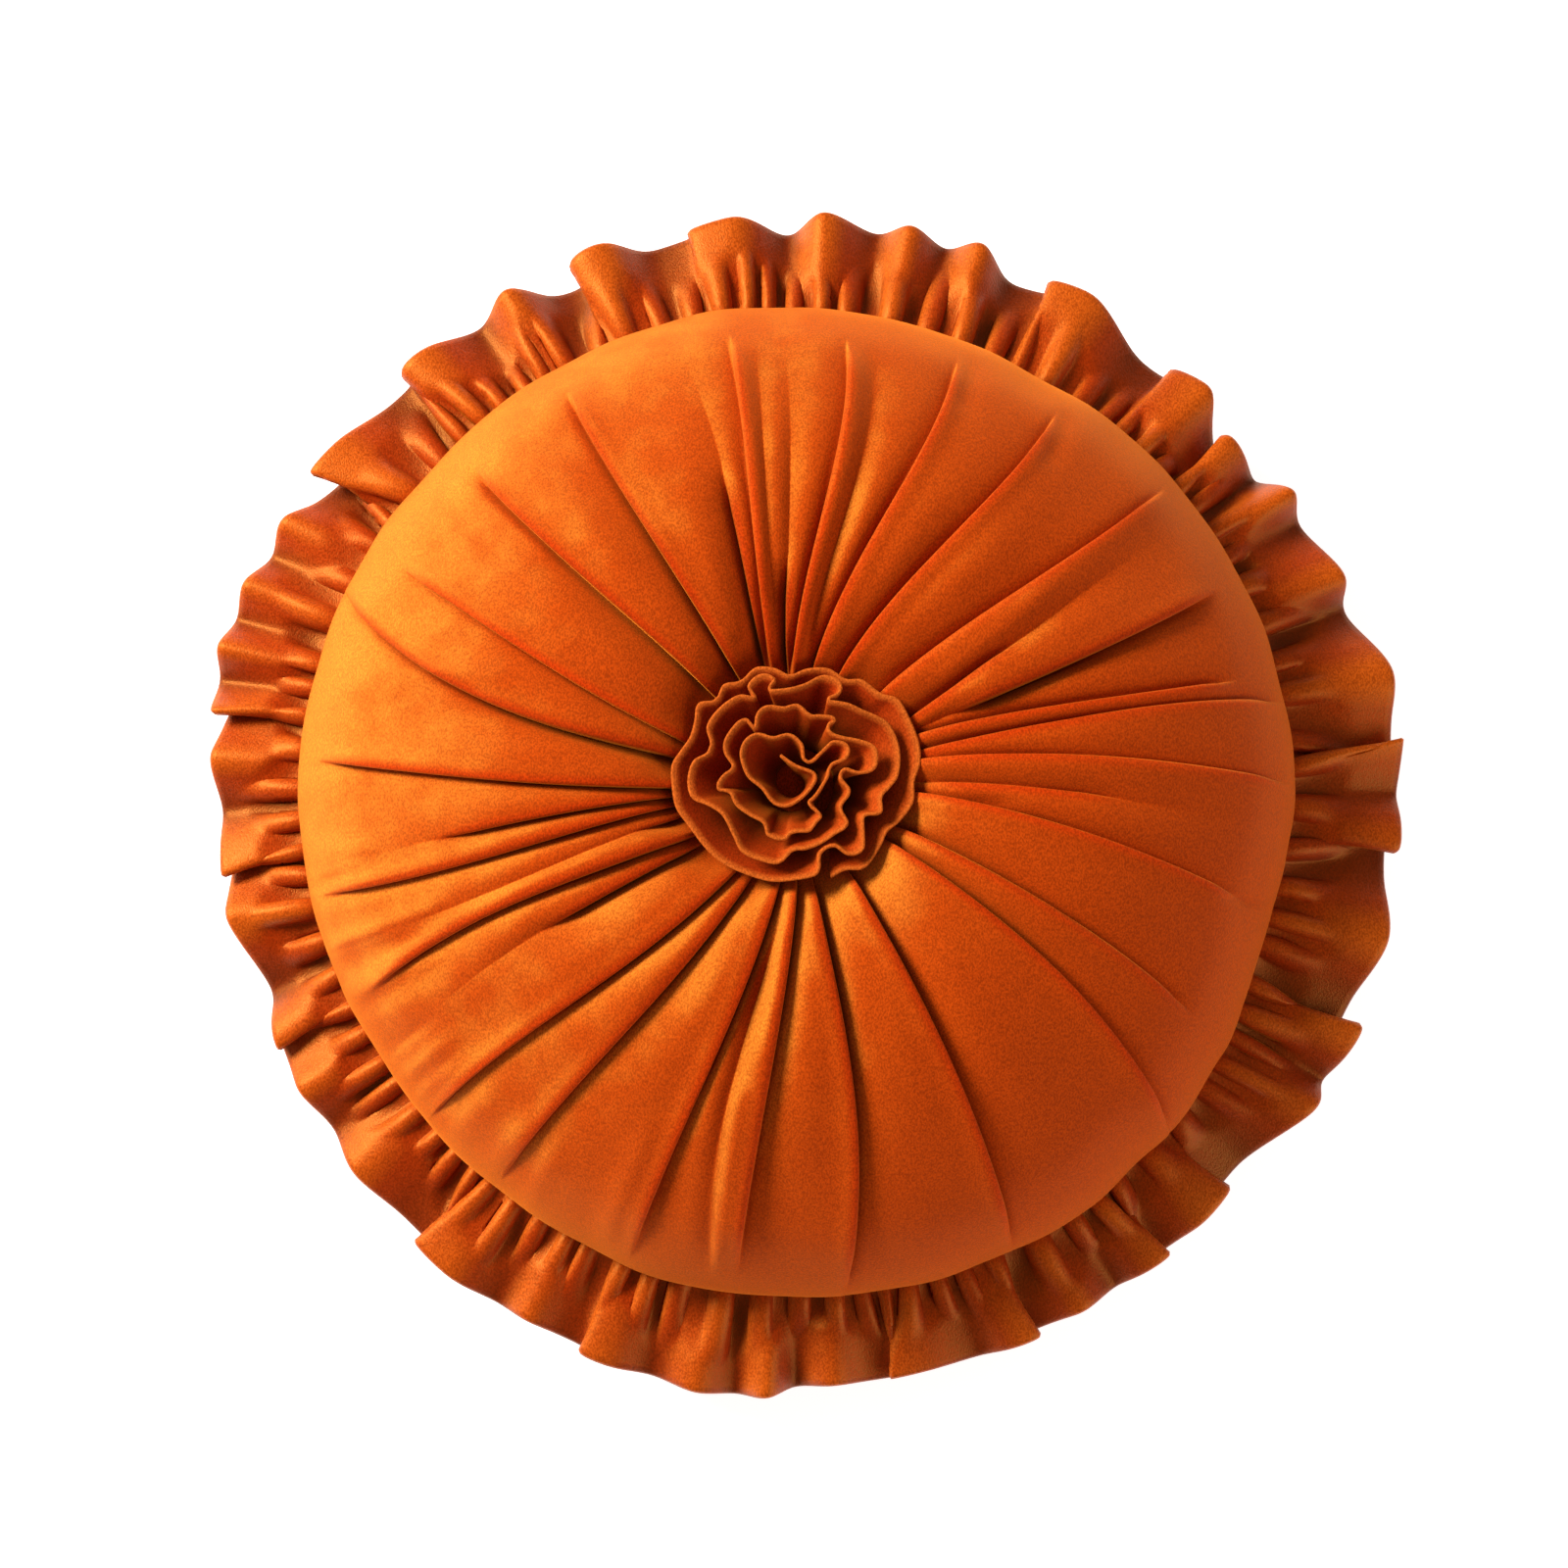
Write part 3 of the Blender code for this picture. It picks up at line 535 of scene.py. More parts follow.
# %% [markdown]
# ## Lay out the pleats
# Across a pleat the cloth climbs to a ridge, rolls over it, turns back and drops to the next panel.
# Four fields say this for every column: lift, sideways shift, how much painted shade it gets down in
# a crease and how near a folded edge it is. The velvet reads the last two.

# %% Lay out the pleats
PLEAT_STRAIGHT_WITHIN = 40.0


def pleat_at(pleat, reach):
    """The angle at which a pleat lies at this reach: a soft curve through its three readings."""
    near, mid, rim = pleat[:3]
    out = np.clip(reach, PLEAT_STRAIGHT_WITHIN, PUFF_REACH)
    a = (out - PLEAT_MID) * (out - PLEAT_RIM) / ((PLEAT_NEAR - PLEAT_MID) * (PLEAT_NEAR - PLEAT_RIM))
    b = (out - PLEAT_NEAR) * (out - PLEAT_RIM) / ((PLEAT_MID - PLEAT_NEAR) * (PLEAT_MID - PLEAT_RIM))
    c = (out - PLEAT_NEAR) * (out - PLEAT_MID) / ((PLEAT_RIM - PLEAT_NEAR) * (PLEAT_RIM - PLEAT_MID))
    return near * a + mid * b + rim * c


COLUMNS_A_DEGREE = 1.5
FEWEST_COLUMNS = 9
CROWDING = 0.78
PLEAT_FADE_IN = 20.0
PLEAT_FADE_OUT = 20.0
PLEAT_RIM_SHARE = 0.7
TUCK_OVERLAP = 1.2
RIDGE_SET_BACK = 1.8
RIDGE_WIDTH = 3.6
RIDGE_GAIN = 1.15
ROLL_WIDTH = 14.0
ROLL_SHARE = 0.9
DROP_GAIN = 1.2
HOLLOW_WIDTH = 12.0
HOLLOW_SHARE = 0.55
HOLLOW_CURVE = 1.4
TURN_WIDTH = 0.8
ROLLS_OVER_AT = 0.7
ROLLS_OVER_WIDTH = 1.1
TUCKS_BACK_AT = 0.8
TUCKS_BACK_WIDTH = 1.0
TUCKS_BACK_SHARE = 0.6
# How dark the creases and grooves are painted: painted shade, fading somewhat towards the rim.
GROOVE_DARK = 0.12
CREASE_DARK = 0.42
CREASE_DARK_PER_DROP = 0.16
CREASE_FADES_FROM = 70.0
CREASE_FADE = 0.45
CREASE_AT = 0.8
CREASE_WIDTH = 0.6
CREASE_WIDTH_PER_DROP = 0.3
EDGE_SHARE = 0.75
EDGE_AT = 1.1
EDGE_WIDTH = 1.3
RIPPLE_IN = (6.0, 8.0)
RIPPLE_OUT = (8.0, 5.0)


def puff_columns(reach):
    """Every column of the cover at this reach: its angle, and what part of its panel it is at.
    The columns crowd together at the pleats, where the cloth turns sharply."""
    at = np.array([pleat_at(pleat, reach) for pleat in PLEATS])
    gaps = np.append(at[1:], at[0] + FULL_TURN) - at
    mids = np.array([pleat[1] for pleat in PLEATS])
    mid_gaps = np.append(mids[1:], mids[0] + FULL_TURN) - mids
    degrees, parts, widths = [], [], []
    for start, gap, mid_gap in zip(at, gaps, mid_gaps):
        count = max(FEWEST_COLUMNS, round(mid_gap * COLUMNS_A_DEGREE))
        part = np.arange(count) / count
        part = part - CROWDING * np.sin(2.0 * math.pi * part) / (2.0 * math.pi)
        degrees.append(start + gap * part)
        parts.append(part)
        widths.append(np.full(count, gap))
    return np.concatenate(degrees), np.concatenate(parts), np.concatenate(widths)


def pleat_fields(reach, degrees):
    """What the pleats do to the cover at one reach: lift, sideways shift, painted crease shade and edge.
    """
    lift, shift, crease_shade, edge = (np.zeros_like(degrees) for _ in range(4))
    for pleat in PLEATS:
        starts, ends, ridge, drop, width, opens = pleat[3:9]
        strength = ease(reach, starts, starts + PLEAT_FADE_IN)
        strength = strength * (1.0 - ease(reach, ends - PLEAT_FADE_OUT, ends))
        if strength <= 0.0:
            continue
        along = np.radians(turn_from(degrees, pleat_at(pleat, reach))) * reach * opens
        deep = strength * (1.0 - (1.0 - PLEAT_RIM_SHARE) * ease(reach, PLEAT_NEAR, PLEAT_RIM))
        if ridge <= 0.0:
            lift -= deep * drop * bell(along, width)
            # Painted shade along a soft groove.
            crease_shade += GROOVE_DARK * deep * drop * bell(along, width)
            continue
        below = ease(along, -TURN_WIDTH, TURN_WIDTH)
        high = bell(along + RIDGE_SET_BACK, RIDGE_WIDTH) + ROLL_SHARE * bell(along, ROLL_WIDTH)
        low = np.exp(-(np.maximum(along, 0.0) / width) ** HOLLOW_CURVE)
        low = low + HOLLOW_SHARE * bell(along, HOLLOW_WIDTH)
        lift += deep * (RIDGE_GAIN * ridge * high * (1.0 - below) - DROP_GAIN * drop * low * below)
        over = bell(along + ROLLS_OVER_AT, ROLLS_OVER_WIDTH)
        back = TUCKS_BACK_SHARE * bell(along - TUCKS_BACK_AT, TUCKS_BACK_WIDTH)
        shift += strength * opens * TUCK_OVERLAP * (over - back)
        # Painted shade down in the tuck's crease.
        dark = min(1.0, CREASE_DARK + CREASE_DARK_PER_DROP * drop)
        dark = dark * (1.0 - CREASE_FADE * float(ease(reach, CREASE_FADES_FROM, PLEAT_RIM)))
        crease_width = CREASE_WIDTH + CREASE_WIDTH_PER_DROP * drop
        crease_shade += strength * dark * bell(along - CREASE_AT, crease_width)
        edge += EDGE_SHARE * strength * bell(along + EDGE_AT, EDGE_WIDTH)
    return lift, shift, crease_shade, edge


def ripple_lift(reach, degrees):
    """The small ribs and puckers that lie between the pleats."""
    lift = np.zeros_like(degrees)
    for near, far, starts, ends, height, width in RIPPLES:
        part = np.clip((reach - starts) / (ends - starts), 0.0, 1.0)
        comes = ease(reach, starts - RIPPLE_IN[0], starts + RIPPLE_IN[1])
        goes = ease(reach, ends - RIPPLE_OUT[0], ends + RIPPLE_OUT[1])
        across = np.radians(turn_from(degrees, near + (far - near) * part)) * reach
        lift += comes * (1.0 - goes) * height * bell(across, width)
    return lift


# %% [markdown]
# ## Build the puff
# The profile is walked ring by ring from the dimple to the back. On the front each ring takes the
# pleats' fields and a soft swell between pleats, and all of that fades out just before the seam.

# %% Build the puff
PUFF_RINGS = 104
BACK_RINGS = 26
PANEL_PUFF = 3.4
WIDE_PANEL = 16.0
FRONT_STEPS_A_STOP = 12
BACK_STEPS_A_STOP = 8
FLAT_BEFORE_SEAM = 6
SWELL_COMES = (40.0, 60.0)
SWELL_EBBS = (90.0, 170.0)
UNEVEN_HEIGHT = 0.45
UNEVEN_TURNS = (5, 9, 14, 23, 31)
UNEVEN_DRIFTS_OVER = 26.0
UNEVEN_COMES = (50.0, 90.0)


def build_puff():
    """Rings of cover points from the dimple over the crown to the seam, then round the plain back."""
    front = even_steps(smooth_path(FACE_PROFILE, FRONT_STEPS_A_STOP, False), PUFF_RINGS)
    back = even_steps(smooth_path(BACK_PROFILE, BACK_STEPS_A_STOP, False), BACK_RINGS)
    back[:, 1] = np.maximum(back[:, 1], 0.0)
    profile = np.vstack([front, back])
    step = np.gradient(profile, axis=0)
    facing = np.column_stack([-step[:, 1], step[:, 0]])
    facing /= np.linalg.norm(facing, axis=1)[:, None]
    points, crease_shades, edges = [], [], []
    fullest = np.argmax(front[:, 0])
    rim_reach = front[fullest, 0]
    for ring, (reach, height) in enumerate(profile):
        on_front = ring < PUFF_RINGS
        over_rim = on_front and ring > fullest
        pleat_reach = reach if on_front and not over_rim else rim_reach
        degrees, parts, widths = puff_columns(pleat_reach)
        if on_front:
            lift, shift, crease_shade, edge = pleat_fields(pleat_reach, degrees)
            lift = lift + ripple_lift(pleat_reach, degrees)
            fade = 1.0 - ease(float(ring), float(fullest), float(PUFF_RINGS - FLAT_BEFORE_SEAM))
            wide = np.minimum(1.0, np.radians(widths) * pleat_reach / WIDE_PANEL)
            swell = ease(reach, *SWELL_COMES) * (1.0 - ease(reach, *SWELL_EBBS))
            lift = (lift + PANEL_PUFF * swell * wide * np.sin(math.pi * parts)) * fade
            uneven = waves(degrees, pleat_reach, SEED, UNEVEN_TURNS, UNEVEN_DRIFTS_OVER)
            lift = lift + UNEVEN_HEIGHT * uneven * ease(reach, *UNEVEN_COMES) * fade
            shift, crease_shade, edge = shift * fade, crease_shade * fade, edge * fade
        else:
            lift = shift = crease_shade = edge = np.zeros_like(degrees)
        held = 1.0 - ease(reach, DIMPLE_HOLDS_TO, DIMPLE_FADES_BY) if on_front else 0.0
        out = reach * rim_scale(reach if on_front else PUFF_REACH, degrees) + lift * facing[ring, 0]
        turned = np.radians(degrees) + shift / max(reach, 1.0)
        points.append(np.column_stack([
            DIMPLE[0] * held + out * np.cos(turned),
            DIMPLE[1] * held + out * np.sin(turned),
            np.maximum(0.0, height + lift * facing[ring, 1]),
        ]))
        crease_shades.append(crease_shade)
        edges.append(edge)
    around = len(points[0])
    rings = len(points)
    grid = np.concatenate(points)
    top = np.array([[DIMPLE[0], DIMPLE[1], FACE_PROFILE[0][1]]])
    low = np.array([[0.0, 0.0, 0.0]])
    faces = []
    for ring in range(rings - 1):
        start = ring * around
        for column in range(around):
            after = (column + 1) % around
            faces.append((start + column, start + around + column, start + around + after, start + after))
    middle = rings * around
    last = (rings - 1) * around
    for column in range(around):
        after = (column + 1) % around
        faces.append((middle, column, after))
        faces.append((middle + 1, last + after, last + column))
    fields = {
        "crease_shade": np.concatenate(crease_shades + [np.zeros(2)]),
        "edge": np.concatenate(edges + [np.zeros(2)]),
    }
    return cloth_body("puff", np.vstack([grid, top, low]), faces, puff_velvet, fields)


puff = build_puff()

# %% [markdown]
# ## The ruffle
# A ruffle is a strip much longer than the edge it is sewn to. At the seam it is squeezed into small
# gathers, and towards its free edge these run together into big, uneven folds. The table gives each
# fold's ridge and valley as the photo shows them; the small gathers are seeded, so they come out the
# same each time.

# %% Sizes and table of the ruffle
SEAM_HEIGHT = 50.0
RUFFLE_THICK = 1.8
HEADING_REACH = 181.4
RUFFLE_LEAVES_SEAM = 185.6
RUFFLE_DROOP = 8.0
FOLD_LIFT = 3.4
LIFT_PER_REACH = 0.32
MOST_LIFT = 7.5
STEPS_A_FOLD = 18
RUFFLE_ROWS = 22
GATHERS = 96
GATHER_HEIGHT = 2.6
TURNED_UNDER = (
    # at, how far the fold lies over the next one
    (4.6, 9.0),
    (39.8, 8.0),
    (49.0, 5.0),
    (63.8, 6.0),
    (100.6, 5.0),
    (112.4, 7.0),
    (132.6, 5.0),
    (145.2, 8.5),
    (171.0, 7.5),
    (187.0, 8.0),
    (205.4, 7.0),
    (230.2, 8.0),
    (248.8, 5.0),
    (279.6, 7.0),
    (293.2, 8.0),
    (308.2, 7.5),
    (316.6, 9.0),
    (336.8, 9.0),
    (355.4, 7.0),
)
RUFFLE_FOLDS = (
    # ridge at, its reach, valley at, its reach
    (3.6, 234.6, 5.6, 230.0),
    (12.0, 235.2, 19.0, 226.4),
    (22.5, 229.4, 28.8, 224.7),
    (32.0, 227.4, 35.2, 219.8),
    (38.0, 220.6, 41.2, 212.4),
    (45.0, 228.0, 51.8, 221.0),
    (60.0, 230.0, 67.4, 223.0),
    (71.6, 231.4, 75.1, 228.0),
    (78.8, 231.4, 82.2, 228.4),
    (87.4, 232.4, 91.0, 226.0),
    (96.4, 231.9, 104.6, 226.9),
    (109.8, 232.6, 114.6, 222.0),
    (119.6, 231.3, 123.8, 225.9),
    (130.2, 230.2, 134.6, 224.1),
    (143.6, 228.7, 146.4, 218.6),
    (151.2, 228.5, 155.0, 227.0),
    (158.6, 231.3, 162.0, 230.2),
    (165.2, 232.5, 167.8, 229.8),
    (169.8, 228.9, 171.9, 222.6),
    (176.0, 227.2, 181.0, 222.9),
    (185.6, 223.3, 188.2, 219.2),
    (192.2, 223.9, 199.8, 215.8),
    (203.6, 221.0, 207.0, 219.5),
    (210.8, 221.3, 215.4, 218.5),
    (220.6, 222.1, 227.4, 220.0),
    (233.6, 225.9, 239.2, 224.2),
    (242.8, 224.6, 246.8, 224.4),
    (251.2, 228.2, 255.8, 227.0),
    (260.2, 229.7, 264.0, 228.2),
    (267.0, 228.9, 269.8, 224.4),
    (273.4, 224.4, 277.6, 223.6),
    (281.4, 224.0, 288.0, 223.6),
    (291.4, 225.3, 294.8, 221.9),
    (298.8, 223.9, 303.0, 222.5),
    (306.4, 224.8, 309.8, 221.9),
    (313.8, 223.8, 320.0, 219.2),
    (328.4, 230.4, 331.8, 228.6),
    (335.2, 233.0, 338.2, 225.0),
    (346.2, 232.8, 353.6, 227.6),
    (357.2, 232.6, 360.6, 231.8),
)


# %% [markdown]
# ## Cloth strips
# Ruffle and rosette are both strips. A grid of middle points is offset to both sides for the
# thickness, and a third line beyond the free edge rounds it off like a folded edge.

# %% Strip helper
SHORTEST_NORMAL = 1e-9


def strip_body(name, grid, facing, thick, closed, material, fields):
    """A solid strip of cloth with rounded edges: its middle surface is grid, rows by length."""
    rows, length = grid.shape[:2]
    half = 0.5 * thick
    one = grid + half * facing
    other = grid - half * facing
    outward = grid[-1] - grid[-2]
    rim = grid[-1] + half * outward / np.linalg.norm(outward, axis=1)[:, None]
    points = np.concatenate([one.reshape(-1, 3), other.reshape(-1, 3), rim])
    back = rows * length
    edge = 2 * rows * length
    spans = length if closed else length - 1
    faces = []
    for step in range(spans):
        after = (step + 1) % length
        for row in range(rows - 1):
            a, b = row * length + step, row * length + after
            faces.append((a, b, b + length, a + length))
            faces.append((back + a, back + a + length, back + b + length, back + b))
        last = (rows - 1) * length
        faces.append((step, back + step, back + after, after))
        faces.append((last + step, last + after, edge + after, edge + step))
        faces.append((edge + step, edge + after, back + last + after, back + last + step))
    if not closed:
        for row in range(rows - 1):
            a, b = row * length, row * length + length - 1
            faces.append((a, a + length, back + a + length, back + a))
            faces.append((b, back + b, back + b + length, b + length))
        last = (rows - 1) * length
        faces.append((last, edge, back + last))
        faces.append((last + length - 1, back + last + length - 1, edge + length - 1))
    values = {
        key: np.concatenate([value.reshape(-1), value.reshape(-1), value[-1]])
        for key, value in fields.items()
    }
    return cloth_body(name, points, faces, material, values)


def facing_of(grid, closed):
    """The direction each bit of a strip faces, from its neighbours along and across it."""
    if closed:
        along = np.roll(grid, -1, axis=1) - np.roll(grid, 1, axis=1)
    else:
        along = np.gradient(grid, axis=1)
    facing = np.cross(np.gradient(grid, axis=0), along)
    return facing / np.maximum(np.linalg.norm(facing, axis=2), SHORTEST_NORMAL)[:, :, None]


# %% [markdown]
# ## Gather the ruffle
# The gathers need three seeded lists: how long each is, how high, and how far out it reaches before
# it dies away. They are drawn in that order from one generator, so every run gives the same cloth.

# %% Gathers and turned folds
GATHER_LENGTHS = (0.55, 1.45)
GATHER_SIZES = (0.6, 1.3)
GATHER_SIZE_LAST = 1.0
GATHER_REACHES = (0.4, 0.85)
GATHER_REACH_LAST = 0.6
TURNED_AT = 1.3
TURNED_WIDTH = 1.5


def seeded_gathers(degrees):
    """For each point along the strip: its place in a gather, that gather's size and where it ends."""
    dice = np.random.default_rng(SEED + 1)
    jitter = np.cumsum(dice.uniform(*GATHER_LENGTHS, GATHERS))
    jitter = jitter / jitter[-1]
    turned = (degrees - degrees[0]) / (degrees[-1] - degrees[0] + degrees[1] - degrees[0])
    number = np.arange(GATHERS + 1)
    phase = 2.0 * math.pi * np.interp(turned, np.concatenate([[0.0], jitter]), number)
    sizes = np.append(dice.uniform(*GATHER_SIZES, GATHERS), GATHER_SIZE_LAST)
    reaches = np.append(dice.uniform(*GATHER_REACHES, GATHERS), GATHER_REACH_LAST)
    size = np.interp(turned * GATHERS, number, sizes)
    ends = np.interp(turned * GATHERS, number, reaches)
    return phase, size, ends


def turned_folds(edge):
    """How far each point of the free edge is pulled sideways, so that a fold lies over the next."""
    under = np.zeros(len(edge))
    free_degrees = np.degrees(np.unwrap(np.arctan2(edge[:, 1], edge[:, 0])))
    for fold_at, over in TURNED_UNDER:
        turn = turn_from(free_degrees, fold_at)
        under += over * (bell(turn + TURNED_AT, TURNED_WIDTH) - bell(turn - TURNED_AT, TURNED_WIDTH))
    return under


# %% Build the ruffle
ROWS_CROWD = 1.15
GATHER_RISES = 0.75
GATHER_SHARPNESS = 0.5
GATHER_LEANS = 0.5
DROOP_CURVE = 1.3
LIFT_CURVE = 0.9
TURNS_UNDER_CURVE = 1.2
DEPTH_AT_LIFT = 0.6
# Painted shade in the folds' valleys and a painted highlight on their ridges.
VALLEY_SHADE = (1.5, 0.75)
RIDGE_HIGHLIGHT = (0.8, 2.2)


def build_ruffle():
    """The strip's free edge from the fold table, its heading in the seam, and gathers between."""
    stops = []
    for ridge_at, ridge_reach, valley_at, valley_reach in RUFFLE_FOLDS:
        lift = min(MOST_LIFT, FOLD_LIFT + LIFT_PER_REACH * (ridge_reach - valley_reach))
        stops.append((ridge_at, ridge_reach, lift))
        stops.append((valley_at, valley_reach, -lift))
    stops = np.array(stops)
    at = stops[:, 0]
    before = np.concatenate([[at[-1] - FULL_TURN], at[:-1]])
    after = np.concatenate([at[1:], [at[0] + FULL_TURN]])
    sewn = 0.25 * before + 0.5 * at + 0.25 * after
    swing = np.column_stack([np.cos(np.radians(at)), np.sin(np.radians(at))])
    seam = np.column_stack([np.cos(np.radians(sewn)), np.sin(np.radians(sewn))])
    path = np.column_stack([swing * stops[:, 1:2], stops[:, 2], seam])
    path = smooth_path(path, STEPS_A_FOLD, True)
    edge, lift, sewn = path[:, :2], path[:, 2], path[:, 3:5]
    sewn = sewn / np.linalg.norm(sewn, axis=1)[:, None]
    tangent = np.column_stack([-sewn[:, 1], sewn[:, 0]])
    degrees = np.degrees(np.unwrap(np.arctan2(sewn[:, 1], sewn[:, 0])))
    scale = rim_scale(PUFF_REACH, degrees)[:, None]
    heading = sewn * HEADING_REACH * scale
    leaves = sewn * RUFFLE_LEAVES_SEAM * scale
    phase, size, ends = seeded_gathers(degrees)
    under = turned_folds(edge)
    rows = [np.column_stack([heading, np.full(len(edge), SEAM_HEIGHT)])]
    depth = [np.zeros(len(edge))]
    for part in np.linspace(0.0, 1.0, RUFFLE_ROWS) ** ROWS_CROWD:
        swell = np.clip(part / ends, 0.0, 1.0)
        gather = GATHER_HEIGHT * size * np.sin(math.pi * swell ** GATHER_RISES)
        wave = np.cos(phase + GATHER_SHARPNESS * np.sin(phase))
        rise = lift * part ** LIFT_CURVE
        height = SEAM_HEIGHT - RUFFLE_DROOP * part ** DROOP_CURVE + rise + gather * wave
        aside = GATHER_LEANS * gather * np.sin(2.0 * phase) + part ** TURNS_UNDER_CURVE * under
        flat = leaves * (1.0 - part) + edge * part + tangent * aside[:, None]
        rows.append(np.column_stack([flat, height]))
        depth.append(0.5 - 0.5 * np.clip((rise + gather * wave) / (DEPTH_AT_LIFT * MOST_LIFT), -1.0, 1.0))
    grid = np.array(rows)
    facing = facing_of(grid, True)
    facing *= np.sign(facing[:, :, 2:3])
    facing[:2] = (0.0, 0.0, 1.0)
    depth = np.array(depth)
    # The low valleys are painted darker as painted shade, and the raised ridges paler as a painted
    # highlight.
    fields = {
        "crease_shade": np.clip(VALLEY_SHADE[0] * depth - VALLEY_SHADE[1], 0.0, 1.0),
        "edge": np.clip(RIDGE_HIGHLIGHT[0] - RIDGE_HIGHLIGHT[1] * depth, 0.0, 1.0),
    }
    return strip_body("ruffle_strip", grid, facing, RUFFLE_THICK, True, ruffle_velvet, fields)


ruffle = build_ruffle()

# %% [markdown]
# ## The rosette
# One long strip stands on its sewn edge and is wound outwards round by round. Its sewn edge is a
# tight spiral, while its free edge has far more cloth and so swings out and in. The tables follow
# that free edge, one row a fold. Neighbouring turns are then moved apart until none touches.

# %% Sizes and tables of the rosette
FRILL_THICK = 1.2
FRILL_STEPS = 1500
FRILL_ROWS = 13
FRILL_TUCK_REACH = 3.4
FRILL_TUCK_PITCH = 5.4
FRILL_CLEAR = 2.0
FRILL_FOOT_CLEAR = 0.7
FRILL_MID_LEVEL = 0.55
FRILL_FLARE = 0.42
FRILL_STANDS = 25.0
FRILL_RIM_STANDS = 18.5
FRILL_RIM_FROM = 30.0
FRILL_RIM_TO = 44.0
FRILL_HEART = (
    # out across, out up, in across, in up
    (-5.0, 6.8, 0.4, 3.0),
    (7.2, 0.2, 7.0, -3.6),
    (2.6, -8.8, -2.9, -11.9),
    (-7.6, -10.6, -11.8, -5.2),
    (-16.6, -1.2, -18.8, 3.4),
    (-19.6, 8.2, -17.6, 12.8),
    (-13.4, 14.9, -8.0, 13.4),
    (-2.0, 14.6, 2.6, 11.0),
    (3.4, 5.8, 6.2, 4.4),
    (10.4, 8.4, 15.0, 12.2),
    (19.6, 10.4, 19.0, 6.0),
    (13.6, 3.4, 12.0, -1.2),
    (8.0, -7.8, 5.4, -11.0),
    (9.6, -15.4, 7.2, -18.4),
)
FRILL_SECOND = (
    # out across, out up, in across, in up
    (5.6, -21.0, -0.8, -21.6),
    (-4.0, -24.2, -9.6, -22.6),
    (-11.0, -18.2, -16.6, -15.0),
    (-21.4, -11.2, -23.6, -6.8),
    (-28.2, -5.4, -26.4, -1.0),
    (-22.4, 2.6, -25.4, 8.0),
    (-25.2, 12.8, -21.0, 18.8),
    (-17.6, 20.2, -14.6, 17.0),
    (-13.4, 22.6, -9.6, 25.2),
    (-3.8, 24.6, 1.2, 25.6),
    (5.8, 21.8, 10.0, 21.6),
    (15.2, 20.6, 12.2, 17.6),
    (15.4, 14.0, 23.6, 12.4),
    (29.6, 9.6, 29.6, 2.4),
    (24.0, 0.4, 18.4, 1.8),
    (17.0, -1.6, 20.2, -6.6),
    (16.8, -12.4, 19.4, -18.6),
    (14.6, -22.2, 9.2, -25.8),
    (3.6, -27.8, -0.6, -28.2),
)
FRILL_THIRD = (
    # out across, out up, in across, in up
    (-5.4, -32.6, -10.0, -32.4),
    (-18.6, -29.0, -22.0, -23.0),
    (-26.2, -15.0, -32.0, -11.0),
    (-37.4, -8.4, -38.8, -1.6),
    (-36.8, 5.0, -32.2, 7.6),
    (-30.6, 12.0, -31.8, 17.8),
    (-27.4, 24.4, -20.4, 29.2),
    (-14.6, 28.8, -16.8, 33.0),
    (-12.6, 37.0, -7.4, 35.8),
    (-9.4, 31.6, -2.4, 31.6),
    (4.4, 33.6, 10.4, 36.6),
    (16.4, 34.6, 16.6, 30.4),
    (12.0, 27.6, 19.6, 26.0),
    (24.6, 23.8, 29.6, 21.8),
    (34.6, 18.6, 38.2, 10.4),
    (38.0, 0.4, 34.8, -4.6),
    (31.8, -8.4, 31.6, -14.4),
    (25.6, -15.4, 25.2, -20.8),
    (25.0, -27.8, 20.0, -29.8),
    (14.6, -26.6, 9.4, -29.4),
)
FRILL_RIM = (
    # out across, out up, in across, in up
    (8.4, -36.4, 1.0, -38.4),
    (-7.6, -39.0, -14.4, -37.4),
    (-22.4, -34.2, -29.0, -30.0),
    (-34.0, -24.6, -38.2, -18.8),
    (-43.0, -12.0, -44.6, -4.0),
    (-44.6, 4.0, -41.2, 9.6),
    (-38.0, 14.4, -36.4, 20.4),
    (-35.2, 26.6, -28.8, 28.2),
    (-25.8, 33.6, -19.6, 35.0),
    (-14.0, 39.8, -7.0, 39.4),
    (-1.6, 37.0, 4.6, 39.2),
    (12.4, 39.4, 18.8, 35.6),
    (24.8, 35.4, 31.6, 30.4),
    (37.8, 28.4, 42.0, 21.4),
    (45.4, 12.6, 46.0, 5.0),
    (43.8, -2.0, 43.4, -9.6),
    (38.8, -16.4, 33.8, -20.8),
    (31.2, -26.4, 25.6, -34.0),
    (18.6, -34.8, 13.4, -37.6),
)


# %% [markdown]
# ## Wind the frill
# Three curves carry the strip: its sewn foot, its middle and its free edge. The foot's angle is the
# free edge's angle, softened and never turning back, so it winds evenly while the edge frills.
# Wherever two turns come too near, both are pushed apart by half of what is missing.

# %% Wind the frill
APART_ALONG_STRIP = 1.9
APART_ROUNDS = 60
APART_EACH_ROUND = 0.5
SHORTEST_GAP = 1e-6
COARSE_STEPS_A_STOP = 6
COARSE_STEPS = 380
FINE_STEPS_A_STEP = 4
WINDING_SOFTENS = 14
WOUND_SOFTENS = 6
REACH_SOFTENS = 8
MIDDLE_CLEAR = 1.2


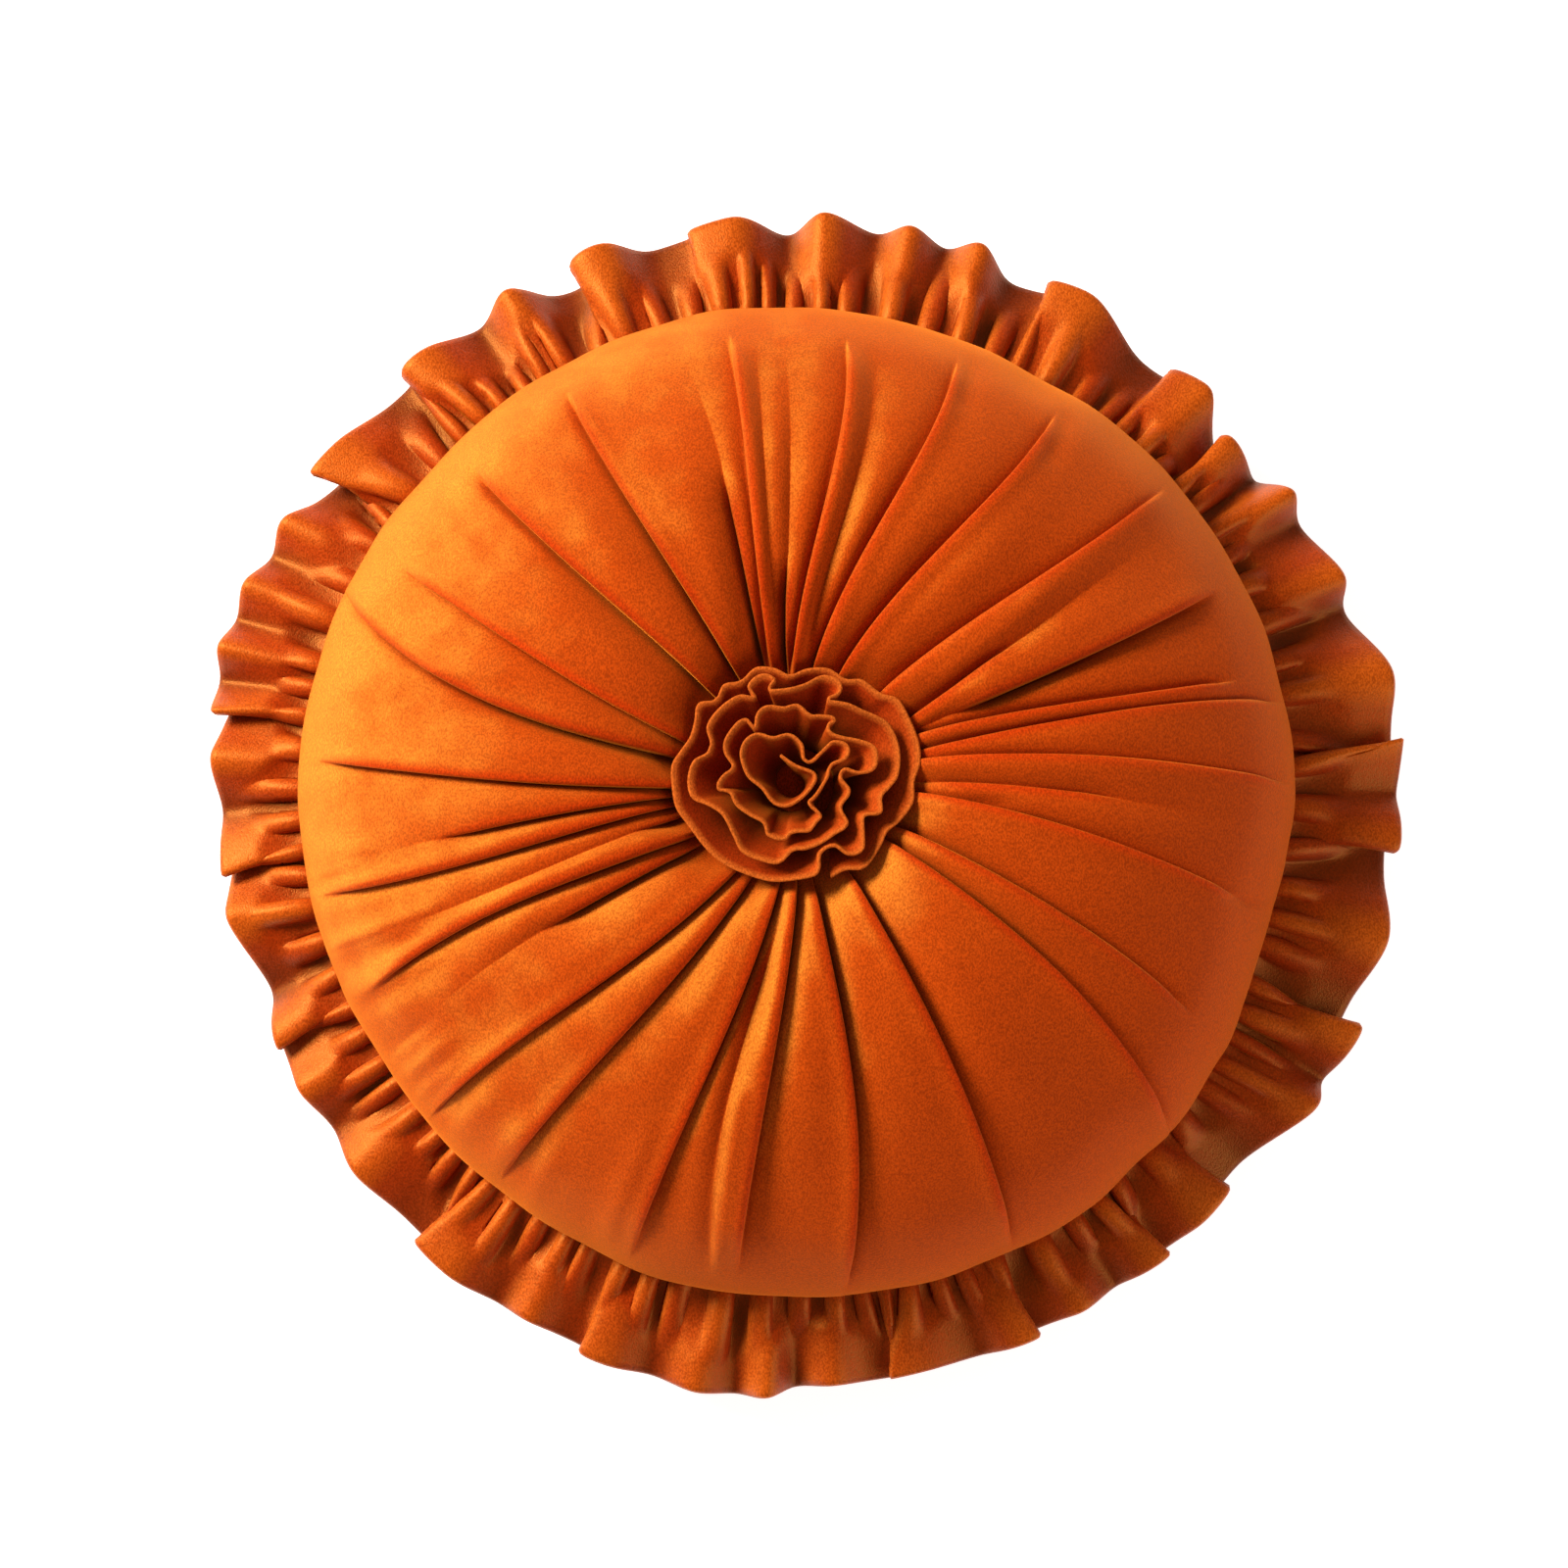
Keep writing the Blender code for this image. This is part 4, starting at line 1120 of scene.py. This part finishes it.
def keep_apart(path, clear):
    """Moves neighbouring turns of the frill off each other until they are this far apart."""
    path = path.copy()
    step = np.linalg.norm(np.diff(path, axis=0), axis=1).mean()
    along = np.abs(np.arange(len(path))[:, None] - np.arange(len(path))[None, :])
    apart = along * step > APART_ALONG_STRIP * clear
    for _ in range(APART_ROUNDS):
        gap = path[:, None, :] - path[None, :, :]
        dist = np.linalg.norm(gap, axis=2) + SHORTEST_GAP
        push = np.where(apart, np.clip(clear - dist, 0.0, None), 0.0)
        move = (gap / dist[:, :, None] * push[:, :, None]).sum(axis=1)
        near = np.maximum(1, (push > 0.0).sum(axis=1))[:, None]
        path += APART_EACH_ROUND * move / near
    return path


def frill_curves():
    """The frill's foot, middle and free edge from above, how tall it stands, and its foot's height."""
    stops = [
        stop
        for row in FRILL_HEART + FRILL_SECOND + FRILL_THIRD + FRILL_RIM
        for stop in (row[:2], row[2:])
    ]
    coarse = even_steps(smooth_path(stops, COARSE_STEPS_A_STOP, False), COARSE_STEPS)
    top = keep_apart(coarse, FRILL_CLEAR)
    turning = np.degrees(np.unwrap(np.arctan2(top[:, 1], top[:, 0])))
    turning = soften(np.minimum.accumulate(soften(turning, WINDING_SOFTENS)), WOUND_SOFTENS)
    wound = (turning[0] - turning) / FULL_TURN
    tuck_reach = FRILL_TUCK_REACH + FRILL_TUCK_PITCH * wound
    spokes = np.column_stack([np.cos(np.radians(turning)), np.sin(np.radians(turning))])
    tuck = tuck_reach[:, None] * spokes
    middle = keep_apart(tuck + FRILL_FLARE * (top - tuck), MIDDLE_CLEAR * FRILL_CLEAR)
    reach = soften(np.linalg.norm(top, axis=1), REACH_SOFTENS)
    outer = ease(reach, FRILL_RIM_FROM, FRILL_RIM_TO)
    stands = FRILL_STANDS * (1.0 - outer) + FRILL_RIM_STANDS * outer
    face = np.array(FACE_PROFILE)
    foot = np.interp(tuck_reach, face[:, 0], face[:, 1]) + FRILL_FOOT_CLEAR
    fine = smooth_path(np.column_stack([tuck, middle, top, stands, foot]), FINE_STEPS_A_STEP, False)
    fine = fine[np.linspace(0, len(fine) - 1, FRILL_STEPS).round().astype(int)]
    return fine[:, :2], fine[:, 2:4], fine[:, 4:6], fine[:, 6], fine[:, 7]


# %% Build the rosette
# Painted shade low on the strip, down between its turns, and a painted highlight along its top edge.
FRILL_FOOT_SHADE = 0.9
FRILL_SHADE_FALLS = 1.1
FRILL_HIGHLIGHT_FROM = 0.965


def build_rosette():
    """The frilled strip, from its sewn spiral up to its free edge."""
    tuck, middle, top, stands, foot = frill_curves()
    rows = []
    levels = np.linspace(0.0, 1.0, FRILL_ROWS)
    for level in levels:
        low = (level - FRILL_MID_LEVEL) * (level - 1.0) / (FRILL_MID_LEVEL)
        mid = level * (level - 1.0) / (FRILL_MID_LEVEL * (FRILL_MID_LEVEL - 1.0))
        high = level * (level - FRILL_MID_LEVEL) / (1.0 - FRILL_MID_LEVEL)
        flat = low * tuck + mid * middle + high * top + np.array(DIMPLE)
        rows.append(np.column_stack([flat, foot + stands * level]))
    grid = np.array(rows)
    facing = facing_of(grid, False)
    height = np.repeat(levels[:, None], grid.shape[1], axis=1)
    # Painted shade darkens the strip towards its foot, and a painted highlight runs along its top edge.
    fields = {
        "crease_shade": FRILL_FOOT_SHADE - FRILL_SHADE_FALLS * height,
        "edge": ease(height, FRILL_HIGHLIGHT_FROM, 1.0),
    }
    return strip_body("rosette_frill", grid, facing, FRILL_THICK, False, rosette_velvet, fields)


rosette = build_rosette()

# %% [markdown]
# ## Put the pieces on the frame
# Each piece rides on the one body, and the solid that it stands for is hidden. The modelled free
# edges run 1.90 m round the ruffle and 0.90 m along the rosette.

# %% Join to the frame
for piece, node, slot in (
    (puff, "cushion", "puff_velvet"),
    (ruffle, "ruffle", "ruffle_velvet"),
    (rosette, "rosette", "rosette_velvet"),
):
    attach(piece, "root")
    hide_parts(node)
